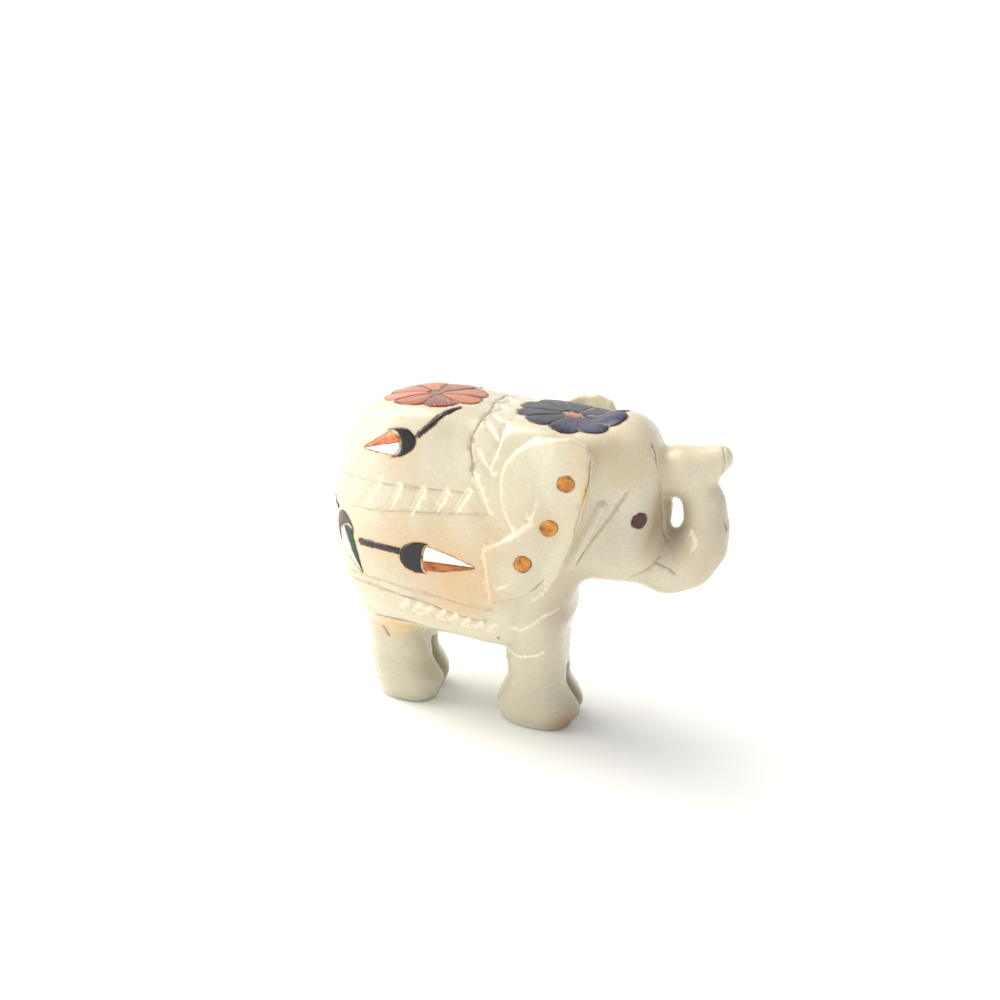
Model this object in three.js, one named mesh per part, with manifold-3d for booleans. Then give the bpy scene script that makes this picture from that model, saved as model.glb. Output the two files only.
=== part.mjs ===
// Marble elephant with coloured stones set flush into it, about 77 mm long, standing on four feet.
// X runs from tail to trunk, Z is up, and the mid plane of the animal is Y = 0. All lengths are in mm.
import * as THREE from 'three';
import Module from 'manifold-3d';

const wasm = await Module();
wasm.setup();

// Driving sizes. The figure's form below is written for a figure drawnHeight high.
const figureHeight = 64;
const drawnHeight = 64;
const legSlotWidth = 3;
const earRise = 1.8;
const clothRise = 0.7;
const inlayDepth = 1.2;
const glueLine = 0.25;
const stemWidth = 1.0;
const dotDiameter = 2.9;
const eyeDiameter = 3.0;
const calyxLength = 4.4;
const rumpBud = { length: 10.4, width: 5.0 };
const garlandBud = { length: 14.0, width: 5.8 };
const cornerBud = { length: 12.2, width: 5.4 };
const rumpFlower = {
  name: 'rump_flower', x: -20, petals: 8, radius: 9.7, petalWidth: 5.2, centreDiameter: 2.4,
};
const headFlower = {
  name: 'head_flower', x: 6, petals: 10, radius: 10.4, petalWidth: 5.0, centreDiameter: 3.4,
};

const figureScale = figureHeight / drawnHeight;

// Small helpers for the form: distances are negative inside the stone.
const clamp = (value, low, high) => Math.min(high, Math.max(low, value));

function blend(a, b, radius) {
  const share = clamp(0.5 + (0.5 * (b - a)) / radius, 0, 1);
  return b + (a - b) * share - radius * share * (1 - share);
}

function blendCut(a, b, radius) {
  return -blend(-a, -b, radius);
}

function profile(height, heights, values) {
  let value = values[0];
  for (let i = 1; i < heights.length; i++) {
    const t = clamp((height - heights[i - 1]) / (heights[i] - heights[i - 1]), 0, 1);
    value += (values[i] - values[i - 1]) * t * t * (3 - 2 * t);
  }
  return value;
}

function lump([x, y, z], centre, radii, lengthwise, across) {
  const u = Math.abs(x - centre[0]) / radii[0];
  const v = Math.abs(y - centre[1]) / radii[1];
  const w = Math.abs(z - centre[2]) / radii[2];
  const section = (v ** across + w ** across) ** (lengthwise / across);
  const size = (u ** lengthwise + section) ** (1 / lengthwise);
  const slope = Math.hypot(u / radii[0], v / radii[1], w / radii[2]);
  const reach = Math.hypot(u, v, w) / Math.max(slope, 1e-6);
  return (size - 1) * Math.min(reach, 2 * Math.min(...radii));
}

function rod([x, y, z], from, to, fromRadius, toRadius) {
  const axis = [to[0] - from[0], to[1] - from[1], to[2] - from[2]];
  const lengthSquared = axis[0] ** 2 + axis[1] ** 2 + axis[2] ** 2;
  const dot = (x - from[0]) * axis[0] + (y - from[1]) * axis[1] + (z - from[2]) * axis[2];
  const along = dot / lengthSquared;
  const distance = Math.hypot(
    x - from[0] - along * axis[0],
    y - from[1] - along * axis[1],
    z - from[2] - along * axis[2],
  );
  const taper = (fromRadius - toRadius) / Math.sqrt(lengthSquared);
  const lean = taper / Math.sqrt(Math.max(1 - taper * taper, 1e-6));
  const t = clamp(along - (distance * lean) / Math.sqrt(lengthSquared), 0, 1);
  const gap = Math.hypot(distance, (along - t) * Math.sqrt(lengthSquared));
  return gap - (fromRadius + (toRadius - fromRadius) * t);
}

function rodChain(point, points, radii, softness) {
  let distance = rod(point, points[0], points[1], radii[0], radii[1]);
  for (let i = 2; i < points.length; i++) {
    distance = blend(distance, rod(point, points[i - 1], points[i], radii[i - 1], radii[i]), softness);
  }
  return distance;
}

function outlineDistance(u, v, outline) {
  let nearest = Infinity;
  let inside = false;
  for (let i = 0, j = outline.length - 1; i < outline.length; j = i++) {
    const [au, av] = outline[i];
    const [bu, bv] = outline[j];
    const [du, dv] = [bu - au, bv - av];
    const t = clamp(((u - au) * du + (v - av) * dv) / (du ** 2 + dv ** 2), 0, 1);
    nearest = Math.min(nearest, Math.hypot(u - au - t * du, v - av - t * dv));
    if ((av > v) !== (bv > v) && u < au + ((v - av) * du) / dv) inside = !inside;
  }
  return inside ? -nearest : nearest;
}

// Barrel, rump and belly.
function torso(p) {
  const rump = lump(p, [-18.8, 0, 41.6], [18.7, 14.4, 22.8], 2.1, 3.3);
  const shoulders = lump(p, [-2.0, 0, 40.8], [13.0, 14.4, 22.6], 2.6, 3.3);
  const belly = lump(p, [-11.2, 0, 32.6], [21.6, 13.4, 15.6], 2.6, 3.2);
  return blend(blend(rump, shoulders, 5), belly, 4);
}

// The back and the crown of the head are rubbed nearly flat where the flowers are set.
function overFlat([x, , z]) {
  return z - profile(x, [-32, -21, -13, -4, 5, 15], [59.7, 61.4, 61.9, 61.1, 61.5, 61.9]);
}

// Tail in low relief down the middle of the rump.
function tail(p) {
  const path = [[-35.4, 0, 52], [-37.1, 0, 45], [-36.9, 0, 36], [-34.9, 0, 28]];
  return rodChain(p, path, [1.8, 1.7, 1.6, 2.3], 1.5);
}

// Head with its brow, jaw and the trunk that curls up to touch the brow.
function head(p) {
  const skull = lump(p, [13.0, 0, 48.2], [11.6, 10.2, 14.8], 2.9, 3.0);
  const crown = lump(p, [6.5, 0, 50.8], [12.5, 13.4, 12.6], 2.6, 3.6);
  const jaw = rodChain(p, [[12, 0, 39.5], [19, 0, 37.8], [25, 0, 36.4]], [8.2, 6.0, 4.6], 0.8);
  const brow = lump(p, [16.0, 0, 56.5], [6.4, 7.6, 7.4], 2.3, 2.3);
  const face = rodChain(p, [[20.0, 0, 54], [21.4, 0, 47], [22.0, 0, 40]], [4.4, 4.7, 5.2], 1);
  const curlPath = [
    [23, 0, 38.5], [27.2, 0, 36.7], [30.4, 0, 37.9], [32.5, 0, 41.2], [32.9, 0, 44.9], [31.9, 0, 49.0],
    [29.6, 0, 53.2],
  ];
  const curl = rodChain(p, curlPath, [5.6, 5.5, 4.9, 4.3, 3.7, 3.4, 3.6], 2);
  const tipPath = [[22, 0, 53.6], [27, 0, 54.6], [30.5, 0, 56.2], [33.1, 0, 57.9]];
  const tip = rodChain(p, tipPath, [4.4, 4.6, 3.3, 2.5], 1.2);
  const trunk = blend(curl, tip, 1.2);
  const dome = blend(blendCut(blend(skull, crown, 2.5), overFlat(p), 1.5), brow, 1.5);
  return blend(blend(blend(dome, jaw, 2.5), face, 1), trunk, 1.2);
}

// A pair of legs is one tapering block with flared feet; the slot below parts left from right.
// The feet are drawn a little too long and rubbed flat at the floor.
const soleTrim = 0.6;

function legPair([x, y, z], heights, centres, halfLengths, halfWidths) {
  const u = Math.abs(x - profile(z, heights, centres));
  const halfLength = profile(z, heights, halfLengths);
  const halfWidth = profile(z, heights, halfWidths);
  const size = ((u / halfLength) ** 2.6 + (Math.abs(y) / halfWidth) ** 2.6) ** (1 / 2.6);
  const side = (size - 1) * Math.min(halfLength, halfWidth);
  return blendCut(blendCut(side, -z - soleTrim, 1.2), z - heights[heights.length - 1], 2);
}

function legs(p) {
  const front = legPair(
    p,
    [0, 3.0, 9.5, 14, 19, 25],
    [6.0, 6.2, 5.2, 4.5, 4.1, 3.0],
    [7.3, 8.4, 5.9, 6.1, 6.3, 8],
    [7.2, 8.0, 7.4, 8.0, 9.6, 11.5],
  );
  const rear = legPair(
    p,
    [0, 4.0, 9.5, 15, 22],
    [-20.7, -20.8, -22.8, -23.8, -24],
    [6.2, 7.2, 6.4, 6.0, 8.0],
    [6.6, 7.8, 7.4, 8.2, 11],
  );
  return Math.min(front, rear);
}

// Ear seen from the side, from the top of its rear edge round by the front.
const earOutline = [
  [-3.0, 52.5], [-2.6, 55.7], [-0.8, 58.5], [1.6, 60.6], [4.5, 62.0], [8.1, 62.6], [11.2, 61.7],
  [12.7, 59.2], [12.7, 53.8], [11.8, 47.8], [10.4, 42.0], [8.9, 36.9], [7.9, 34.2], [3.6, 31.8],
  [-2.7, 29.0], [-3.6, 33.5], [-4.9, 39.2], [-2.0, 41.0], [0.2, 43.4], [-1.6, 46.5], [-2.6, 49.1],
];

// The ears stand out from the neck towards their tops.
function ears(p, coat) {
  const [x, y, z] = p;
  const flare = clamp((z - 42) / 20, 0, 1) ** 1.3 * clamp((x + 4) / 10, 0, 1) * 2.6;
  const shell = lump(p, [4, 0, 42], [24, 15.2, 24], 2.6, 3.6) - flare;
  const sheet = Math.min(shell, coat - earRise / figureScale);
  const trimmed = blendCut(sheet, outlineDistance(x, z, earOutline), 0.5);
  return blendCut(trimmed, 9.5 + flare * 1.6 - Math.abs(y), 0.8);
}

// Saddle cloth: a thin coat over the barrel that ends in a hem above the legs.
function cloth([x, , z], barrel) {
  const hem = 20.4 - 0.14 * (x + 15);
  const rise = clothRise / figureScale;
  return blendCut(blendCut(barrel - rise, hem - z, 0.5), x - 2.0, 0.5);
}

function figure(p) {
  const [, y, z] = p;
  const barrel = blendCut(torso(p), overFlat(p), 2.5);
  const slot = blendCut(Math.abs(y) - legSlotWidth / 2 / figureScale, z - 11.8, 1.5);
  const naked = blendCut(blend(blend(barrel, head(p), 3), legs(p), 2.5), -slot, 0.6);
  const dressed = blend(blend(naked, cloth(p, barrel), 0.4), tail(p), 0.8);
  return blend(dressed, ears(p, naked), 0.4);
}

// Distance to the finished stone at a point of the real figure.
const stone = (x, y, z) => figure([x / figureScale, y / figureScale, z / figureScale]) * figureScale;

// Grid lines: wide steps over the smooth rump, closer ones over ears, head and trunk.
function gridLines(stretches) {
  const lines = [stretches[0].from];
  for (const { to, step } of stretches) {
    const from = lines[lines.length - 1];
    const count = Math.round((to - from) / step);
    for (let i = 1; i <= count; i++) lines.push(from + ((to - from) * i) / count);
  }
  return lines.map((line) => line * figureScale);
}

// Skin the form with one vertex in each grid box that the surface passes through.
function skin(distance, xs, ys, zs) {
  const sizes = [xs.length, ys.length, zs.length];
  const at = (i, j, k) => (i * sizes[1] + j) * sizes[2] + k;
  const values = new Float64Array(sizes[0] * sizes[1] * sizes[2]);
  xs.forEach((x, i) => ys.forEach((y, j) => zs.forEach((z, k) => {
    values[at(i, j, k)] = distance(x, y, z);
  })));
  const vertexOf = new Map();
  const vertices = [];
  for (let i = 0; i < sizes[0] - 1; i++) {
    for (let j = 0; j < sizes[1] - 1; j++) {
      for (let k = 0; k < sizes[2] - 1; k++) {
        const crossing = boxCrossing(i, j, k);
        if (!crossing) continue;
        vertexOf.set(at(i, j, k), vertices.length / 3);
        vertices.push(...crossing);
      }
    }
  }

  function boxCrossing(i, j, k) {
    const sum = [0, 0, 0];
    let count = 0;
    for (let corner = 0; corner < 8; corner++) {
      for (let axis = 0; axis < 3; axis++) {
        if (corner & (1 << axis)) continue;
        const a = [i + (corner & 1), j + ((corner >> 1) & 1), k + ((corner >> 2) & 1)];
        const b = a.map((value, n) => (n === axis ? value + 1 : value));
        const fa = values[at(...a)];
        const fb = values[at(...b)];
        if ((fa < 0) === (fb < 0)) continue;
        const t = fa / (fa - fb);
        const from = [xs[a[0]], ys[a[1]], zs[a[2]]];
        const to = [xs[b[0]], ys[b[1]], zs[b[2]]];
        for (let n = 0; n < 3; n++) sum[n] += from[n] + (to[n] - from[n]) * t;
        count++;
      }
    }
    return count ? sum.map((value) => value / count) : null;
  }

  const triangles = [];
  for (let i = 0; i < sizes[0] - 1; i++) {
    for (let j = 0; j < sizes[1] - 1; j++) {
      for (let k = 0; k < sizes[2] - 1; k++) {
        for (let axis = 0; axis < 3; axis++) {
          const next = [i, j, k];
          if (next.some((line, n) => n !== axis && line === 0)) continue;
          next[axis]++;
          const inside = values[at(i, j, k)] < 0;
          if (inside === values[at(...next)] < 0) continue;
          const [u, v] = [(axis + 1) % 3, (axis + 2) % 3];
          const ring = [[0, 0], [1, 0], [1, 1], [0, 1]].map(([du, dv]) => {
            const box = [i, j, k];
            box[u] -= du;
            box[v] -= dv;
            return vertexOf.get(at(...box));
          });
          if (!inside) ring.reverse();
          triangles.push(...splitQuad(ring));
        }
      }
    }
  }

  function splitQuad([a, b, c, d]) {
    const corner = (n) => vertices.slice(3 * n, 3 * n + 3);
    const span = (m, n) => Math.hypot(...corner(m).map((value, axis) => value - corner(n)[axis]));
    return span(a, c) <= span(b, d) ? [a, b, c, a, c, d] : [b, c, d, b, d, a];
  }

  return { vertices, triangles };
}

function solidFrom({ vertices, triangles }) {
  const mesh = new wasm.Mesh({
    numProp: 3,
    vertProperties: new Float32Array(vertices),
    triVerts: new Uint32Array(triangles),
  });
  return new wasm.Manifold(mesh);
}

function geometryFrom(solid) {
  const mesh = solid.getMesh();
  const geometry = new THREE.BufferGeometry();
  geometry.setAttribute('position', new THREE.BufferAttribute(new Float32Array(mesh.vertProperties), 3));
  geometry.setIndex(new THREE.BufferAttribute(new Uint32Array(mesh.triVerts), 1));
  geometry.computeVertexNormals();
  return geometry;
}

// A box of stone as large as the grid, from which everything under the floor is cut away.
function floorBlock(depth) {
  const geometry = new THREE.BoxGeometry(200 * figureScale, 80 * figureScale, depth);
  geometry.translate(0, 0, -depth / 2);
  geometry.deleteAttribute('normal');
  geometry.deleteAttribute('uv');
  const positions = geometry.getAttribute('position');
  const merged = [];
  const places = new Map();
  const remap = [];
  for (let n = 0; n < positions.count; n++) {
    const corner = [positions.getX(n), positions.getY(n), positions.getZ(n)];
    const key = corner.join();
    if (!places.has(key)) {
      places.set(key, merged.length / 3);
      merged.push(...corner);
    }
    remap.push(places.get(key));
  }
  return solidFrom({ vertices: merged, triangles: Array.from(geometry.index.array, (n) => remap[n]) });
}

// Where a straight line first meets the stone.
function surfacePoint(start, direction) {
  let travelled = 0;
  const at = (distance) => start.clone().addScaledVector(direction, distance);
  for (let n = 0; n < 200; n++) {
    const point = at(travelled);
    const gap = stone(point.x, point.y, point.z);
    if (gap < 1e-4) return point;
    travelled += gap * 0.6;
  }
  return at(travelled);
}

function surfaceNormal(point) {
  const step = 0.6;
  const slope = (axis) => {
    const high = point.clone().addScaledVector(axis, step);
    const low = point.clone().addScaledVector(axis, -step);
    return stone(high.x, high.y, high.z) - stone(low.x, low.y, low.z);
  };
  const axes = [new THREE.Vector3(1, 0, 0), new THREE.Vector3(0, 1, 0), new THREE.Vector3(0, 0, 1)];
  return new THREE.Vector3(...axes.map(slope)).normalize();
}

// A seat is a place on the stone with its outward normal and two directions along the surface.
function seat(start, direction, along) {
  const origin = surfacePoint(start, direction);
  const normal = surfaceNormal(origin);
  const ahead = along.clone().addScaledVector(normal, -along.dot(normal)).normalize();
  return { origin, normal, ahead, aside: new THREE.Vector3().crossVectors(normal, ahead) };
}

// Widen an outline by moving each corner along the mean of its two edge normals.
function widened(outline, margin) {
  return outline.map((corner, n) => {
    const before = outline[(n + outline.length - 1) % outline.length];
    const after = outline[(n + 1) % outline.length];
    const inward = new THREE.Vector2(corner[0] - before[0], corner[1] - before[1]).normalize();
    const outward = new THREE.Vector2(after[0] - corner[0], after[1] - corner[1]).normalize();
    const bisector = new THREE.Vector2(inward.y + outward.y, -inward.x - outward.x).normalize();
    const reach = margin / Math.max(0.5, bisector.x * inward.y - bisector.y * inward.x);
    return [corner[0] + bisector.x * reach, corner[1] + bisector.y * reach];
  });
}

// A slug of stone under an outline drawn on the surface. Its floor and its top follow the surface,
// through rings of points between the outline and its middle.
function slug(place, outline, bottom, top, rings = 1) {
  const count = outline.length;
  const middle = [0, 1].map((axis) => outline.reduce((sum, corner) => sum + corner[axis], 0) / count);
  const sheet = 1 + rings * count;
  const vertices = [];
  const put = ([u, v], height) => {
    const above = place.origin.clone().addScaledVector(place.ahead, u).addScaledVector(place.aside, v);
    const start = above.clone().addScaledVector(place.normal, 6);
    const point = surfacePoint(start, place.normal.clone().negate()).addScaledVector(place.normal, height);
    vertices.push(point.x, point.y, point.z);
  };
  for (const height of [bottom, top]) {
    put(middle, height);
    for (let ring = 1; ring <= rings; ring++) {
      for (const corner of outline) {
        put(middle.map((value, axis) => value + ((corner[axis] - value) * ring) / rings), height);
      }
    }
  }
  const triangles = [];
  const addFace = (a, b, c) => triangles.push(c, b, a, a + sheet, b + sheet, c + sheet);
  for (let n = 0; n < count; n++) {
    const next = (n + 1) % count;
    addFace(0, 1 + n, 1 + next);
    for (let ring = 1; ring < rings; ring++) {
      const [inner, outer] = [1 + (ring - 1) * count, 1 + ring * count];
      addFace(inner + n, outer + n, outer + next);
      addFace(inner + n, outer + next, inner + next);
    }
    const rim = 1 + (rings - 1) * count;
    const [low, lowNext] = [rim + n, rim + next];
    triangles.push(low, lowNext, lowNext + sheet, low, lowNext + sheet, low + sheet);
  }
  return { vertices, triangles };
}

// Outlines of the set stones, anticlockwise, in the directions of their seat.
function circleOutline(diameter, sides) {
  return Array.from({ length: sides }, (unused, n) => {
    const angle = (2 * Math.PI * n) / sides;
    return [(diameter / 2) * Math.cos(angle), (diameter / 2) * Math.sin(angle)];
  });
}

function turned(outline, angle) {
  return outline.map(([u, v]) => [
    u * Math.cos(angle) - v * Math.sin(angle),
    u * Math.sin(angle) + v * Math.cos(angle),
  ]);
}

// Half of a petal pointing along the first direction, from its root to its tip. Neighbours keep a
// glue line apart.
function petalHalf(flower) {
  const share = Math.tan(Math.PI / flower.petals);
  const root = flower.centreDiameter / 2 + glueLine * 1.6;
  const half = flower.petalWidth / 2;
  const shoulder = flower.radius - half * 0.75;
  const waist = (root + shoulder) * 0.55;
  const upTo = (distance, width) => Math.min(width, distance * share - glueLine * 0.6);
  return [
    [root, Math.max(0.3, upTo(root, half * 0.3))],
    [waist, upTo(waist, half * 0.74)],
    [shoulder, upTo(shoulder, half)],
    [flower.radius - half * 0.16, upTo(shoulder, half) * 0.62],
    [flower.radius, 0],
  ];
}

function petalOutline(flower, index) {
  const half = petalHalf(flower);
  const mirrored = half.slice(0, -1).map(([u, v]) => [u, -v]);
  return turned([...mirrored, ...half.reverse()], ((index + 0.5) * 2 * Math.PI) / flower.petals);
}

// The outline of the whole flower: the crowns of its petals with a notch between each two.
function flowerOutline(flower) {
  const [, , shoulder, crown, tip] = petalHalf(flower);
  const lobe = [[shoulder[0], -shoulder[1]], [crown[0], -crown[1]], tip, crown, shoulder];
  const notch = [shoulder[0] * 0.9, 0];
  const outline = [];
  for (let n = 0; n < flower.petals; n++) {
    outline.push(...turned([notch], (n * 2 * Math.PI) / flower.petals));
    outline.push(...turned(lobe, ((n + 0.5) * 2 * Math.PI) / flower.petals));
  }
  return outline;
}

// A bud lies along its seat: a dark calyx at the back, then two long petals side by side to a point.
function budPetalOutline(bud, side) {
  const half = bud.width / 2;
  const inner = glueLine / 2;
  const outline = [
    [calyxLength * 0.7, inner], [bud.length, inner], [bud.length * 0.68, half * 0.5],
    [calyxLength * 1.06, half * 0.86], [calyxLength * 0.84, half * 0.55],
  ];
  return side > 0 ? outline : outline.map(([u, v]) => [u, -v]).reverse();
}

function calyxOutline(bud) {
  const half = bud.width / 2;
  const upper = [
    [0, half * 0.3], [calyxLength * 0.25, half * 0.86], [calyxLength * 0.65, half * 1.06],
    [calyxLength * 1.06 - glueLine * 1.4, half * 0.86 + glueLine * 2],
    [calyxLength * 0.84 - glueLine * 2, half * 0.55], [calyxLength * 0.7 - glueLine * 2, 0],
  ];
  const lower = upper.slice(0, -1).map(([u, v]) => [u, -v]);
  return [...lower, ...upper.slice().reverse()];
}

function budOutline(bud) {
  const half = bud.width / 2;
  const upper = [
    [0, half * 0.3], [calyxLength * 0.25, half * 0.86], [calyxLength * 0.65, half * 1.06],
    [calyxLength * 1.06 - glueLine * 1.4, half * 0.86 + glueLine * 2.2], [calyxLength * 1.16, half * 0.84],
    [bud.length * 0.68, half * 0.5], [bud.length, 0],
  ];
  const lower = upper.slice(0, -1).map(([u, v]) => [u, -v]);
  return [...lower, ...upper.slice().reverse()];
}

function stripOutline(length, width) {
  const steps = 4;
  const edge = (v) => Array.from({ length: steps + 1 }, (unused, n) => [length * (n / steps - 0.5), v]);
  return [...edge(-width / 2), ...edge(width / 2).reverse()];
}

const paint = {
  marble: { color: '#e9e2d0', roughness: 0.4 },
  carnelian: { color: '#bf6a35', roughness: 0.3 },
  lapis: { color: '#2e3148', roughness: 0.3 },
  jasper: { color: '#9a5a33', roughness: 0.35 },
  serpentine: { color: '#5c6142', roughness: 0.35 },
  onyx: { color: '#1b1618', roughness: 0.3 },
  shell: { color: '#f1ead6', roughness: 0.3 },
  malachite: { color: '#0f6a3c', roughness: 0.3 },
  amber: { color: '#c8801f', roughness: 0.25 },
  garnet: { color: '#4a1712', roughness: 0.25 },
};

const figurine = new THREE.Group();
const carving = new THREE.Group();
figurine.add(carving);
const pockets = [];

function addMesh(name, geometry, look) {
  const mesh = new THREE.Mesh(geometry, new THREE.MeshStandardMaterial({ ...paint[look], metalness: 0 }));
  mesh.name = name;
  carving.add(mesh);
}

// A pocket is wider and deeper than the stones it holds by the glue line.
function cutPocket(place, outline, rings = 1) {
  pockets.push(slug(place, widened(outline, glueLine), -inlayDepth - glueLine, 2.5, rings));
}

function setStone(name, place, outline, look) {
  addMesh(name, geometryFrom(solidFrom(slug(place, outline, -inlayDepth, 0))), look);
}

function addFlower(flower, petalLook, centreLook) {
  const down = new THREE.Vector3(0, 0, -1);
  const above = new THREE.Vector3(flower.x, 0, 80).multiplyScalar(figureScale);
  const place = seat(above, down, new THREE.Vector3(1, 0, 0));
  cutPocket(place, flowerOutline(flower), 3);
  for (let n = 0; n < flower.petals; n++) {
    setStone(`${flower.name}_petal_${n + 1}`, place, petalOutline(flower, n), petalLook);
  }
  setStone(`${flower.name}_centre`, place, circleOutline(flower.centreDiameter, 10), centreLook);
}

// A seat on one flank: the place is drawn for the right side and mirrored for the left one.
function flankSeat(side, place, outward, heading) {
  const mirrored = ([x, y, z]) => new THREE.Vector3(x, -side * y, z);
  const out = mirrored(outward).normalize();
  const start = mirrored(place).multiplyScalar(figureScale).addScaledVector(out, 10 * figureScale);
  return seat(start, out.clone().negate(), mirrored(heading));
}

// The two petals of a bud are given as [name, look], first the one on the far side of its mid line.
function addBud(name, bud, place, side, [firstPetal, firstLook], [secondPetal, secondLook]) {
  cutPocket(place, budOutline(bud), 2);
  setStone(`${name}_calyx`, place, calyxOutline(bud), 'onyx');
  setStone(`${name}_${firstPetal}_petal`, place, budPetalOutline(bud, -side), firstLook);
  setStone(`${name}_${secondPetal}_petal`, place, budPetalOutline(bud, side), secondLook);
}

// A stem runs between two drawn points of the flank, the second one short of the calyx it meets.
function addStem(name, side, from, to, outward) {
  const heading = to.map((value, axis) => value - from[axis]);
  const middle = to.map((value, axis) => (value + from[axis]) / 2);
  const outline = stripOutline(Math.hypot(...heading) * figureScale, stemWidth);
  const place = flankSeat(side, middle, outward, heading);
  cutPocket(place, outline);
  setStone(name, place, outline, 'onyx');
}

function addFlank(side) {
  const label = side < 0 ? 'right' : 'left';
  const rumpPlace = flankSeat(side, [-19.2, -12.7, 56.3], [-0.05, -0.9, 0.44], [-9.9, 0.7, -3.2]);
  addBud(`${label}_rump_bud`, rumpBud, rumpPlace, -side, ['upper', 'carnelian'], ['lower', 'shell']);
  addStem(`${label}_rump_stem`, side, [-13.6, -7.9, 61.0], [-18.8, -12.2, 56.9], [0, -0.72, 0.7]);
  const garlandPlace = flankSeat(side, [-20.3, -14.6, 35.2], [0, -1, 0], [14, -0.3, 0.1]);
  const garlandLooks = [['upper', 'shell'], ['lower', 'carnelian']];
  addBud(`${label}_garland_bud`, garlandBud, garlandPlace, side, ...garlandLooks);
  addStem(`${label}_garland_stem`, side, [-28.4, -13.2, 35.3], [-20.9, -14.6, 35.5], [-0.15, -1, 0]);
  const cornerPlace = flankSeat(side, [-34.6, -9.9, 39.4], [-0.6, -0.8, 0], [6.7, -2.9, -9.8]);
  addBud(`${label}_corner_bud`, cornerBud, cornerPlace, side, ['front', 'malachite'], ['rear', 'shell']);
  addStem(`${label}_corner_stem`, side, [-37.9, -4.6, 43.0], [-35.3, -9.3, 39.9], [-0.85, -0.5, 0]);
  const dots = [[8.6, -16, 54.0], [6.5, -15.5, 45.3], [2.6, -15.5, 37.9]];
  dots.forEach((place, n) => {
    const dotPlace = flankSeat(side, place, [0, -1, 0], [1, 0, 0]);
    cutPocket(dotPlace, circleOutline(dotDiameter, 12));
    setStone(`${label}_ear_dot_${n + 1}`, dotPlace, circleOutline(dotDiameter, 12), 'amber');
  });
  const eyePlace = flankSeat(side, [21.4, -8.6, 46.9], [0.35, -1, 0.05], [1, 0, 0]);
  cutPocket(eyePlace, circleOutline(eyeDiameter, 12));
  setStone(`${label}_eye`, eyePlace, circleOutline(eyeDiameter, 12), 'garnet');
}

const lengthLines = gridLines([
  { from: -41, to: -41, step: 1 },
  { to: -8.6, step: 3.6 },
  { to: 14, step: 1.9 },
  { to: 40, step: 2.1 },
]);
const widthLines = gridLines([
  { from: -19, to: -19, step: 1 },
  { to: -9, step: 1.9 },
  { to: 9, step: 2.57 },
  { to: 19, step: 1.9 },
]);
const heightLines = gridLines([{ from: -2.4, to: -2.4, step: 1 }, { to: 65.8, step: 2.35 }]);

addFlower(rumpFlower, 'carnelian', 'serpentine');
addFlower(headFlower, 'lapis', 'jasper');
addFlank(-1);
addFlank(1);

let marble = solidFrom(skin(stone, lengthLines, widthLines, heightLines));
marble = marble.subtract(floorBlock(5 * figureScale));
for (const pocket of pockets) marble = marble.subtract(solidFrom(pocket));
addMesh('marble_body', geometryFrom(marble), 'marble');

// The origin is under the middle of the figure's length.
const reach = new THREE.Box3().setFromObject(carving);
carving.position.x = -(reach.min.x + reach.max.x) / 2;

export default figurine;
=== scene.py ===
import math

import bmesh
import bpy
import numpy as np
from mathutils import Matrix, Vector


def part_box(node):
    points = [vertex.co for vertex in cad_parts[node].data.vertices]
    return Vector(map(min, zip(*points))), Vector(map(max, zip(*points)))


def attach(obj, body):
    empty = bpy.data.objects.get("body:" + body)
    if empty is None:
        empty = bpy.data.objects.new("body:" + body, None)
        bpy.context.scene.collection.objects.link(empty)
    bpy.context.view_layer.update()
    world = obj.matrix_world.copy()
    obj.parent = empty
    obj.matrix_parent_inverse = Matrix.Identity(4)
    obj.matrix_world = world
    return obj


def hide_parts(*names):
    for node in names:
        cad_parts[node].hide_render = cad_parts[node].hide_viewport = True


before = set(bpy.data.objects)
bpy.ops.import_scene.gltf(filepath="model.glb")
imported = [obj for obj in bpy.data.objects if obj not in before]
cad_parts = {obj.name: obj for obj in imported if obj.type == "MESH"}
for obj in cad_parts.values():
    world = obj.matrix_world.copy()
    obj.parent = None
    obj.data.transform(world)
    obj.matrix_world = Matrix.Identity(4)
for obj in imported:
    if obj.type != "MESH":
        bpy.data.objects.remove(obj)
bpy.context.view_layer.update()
print("frame loaded:", len(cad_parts), "solids")

# Sizes of the set stones in millimetres. Lengths, radii, diameters and places are the solids' own.
# The flowers' petals are cut a little wider, until they nearly touch, and the garland's calyx ends
# straight, with a slanting joint between its petals
metre = 0.001  # one millimetre in the frame's metres
glueLine = 0.25
calyxLength = 4.4
buds = {
    "rump": {"length": 10.4, "width": 5.0, "notch": 0.7},
    "garland": {"length": 14.0, "width": 5.8, "notch": 1.0, "lean": -0.5},
    "corner": {"length": 12.2, "width": 5.4, "notch": 0.7},
}
flowers = {
    "rump": {"x": -20, "y": 0, "petals": 8, "radius": 9.7, "petalWidth": 6.6, "centre": 2.4, "seed": 4},
    "head": {"x": 6, "y": 0, "petals": 10, "radius": 10.4, "petalWidth": 5.9, "centre": 3.4, "seed": 9},
}

# The form is written round its own x = 0, and the head flower's centre says where that is in the frame
low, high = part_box("head_flower_centre")
figureStart = (low.x + high.x) / 2 / metre - flowers["head"]["x"]


def toFrame(points):
    return (points + np.array([figureStart, 0, 0])) * metre


# The form: distances are negative inside the stone
def blend(a, b, radius):
    share = np.clip(0.5 + 0.5 * (b - a) / radius, 0, 1)
    return b + (a - b) * share - radius * share * (1 - share)


def blendCut(a, b, radius):
    return -blend(-a, -b, radius)


def profile(height, heights, values):
    value = np.full(np.shape(height), float(values[0]))
    for i in range(1, len(heights)):
        t = np.clip((height - heights[i - 1]) / (heights[i] - heights[i - 1]), 0, 1)
        value = value + (values[i] - values[i - 1]) * t * t * (3 - 2 * t)
    return value


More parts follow.
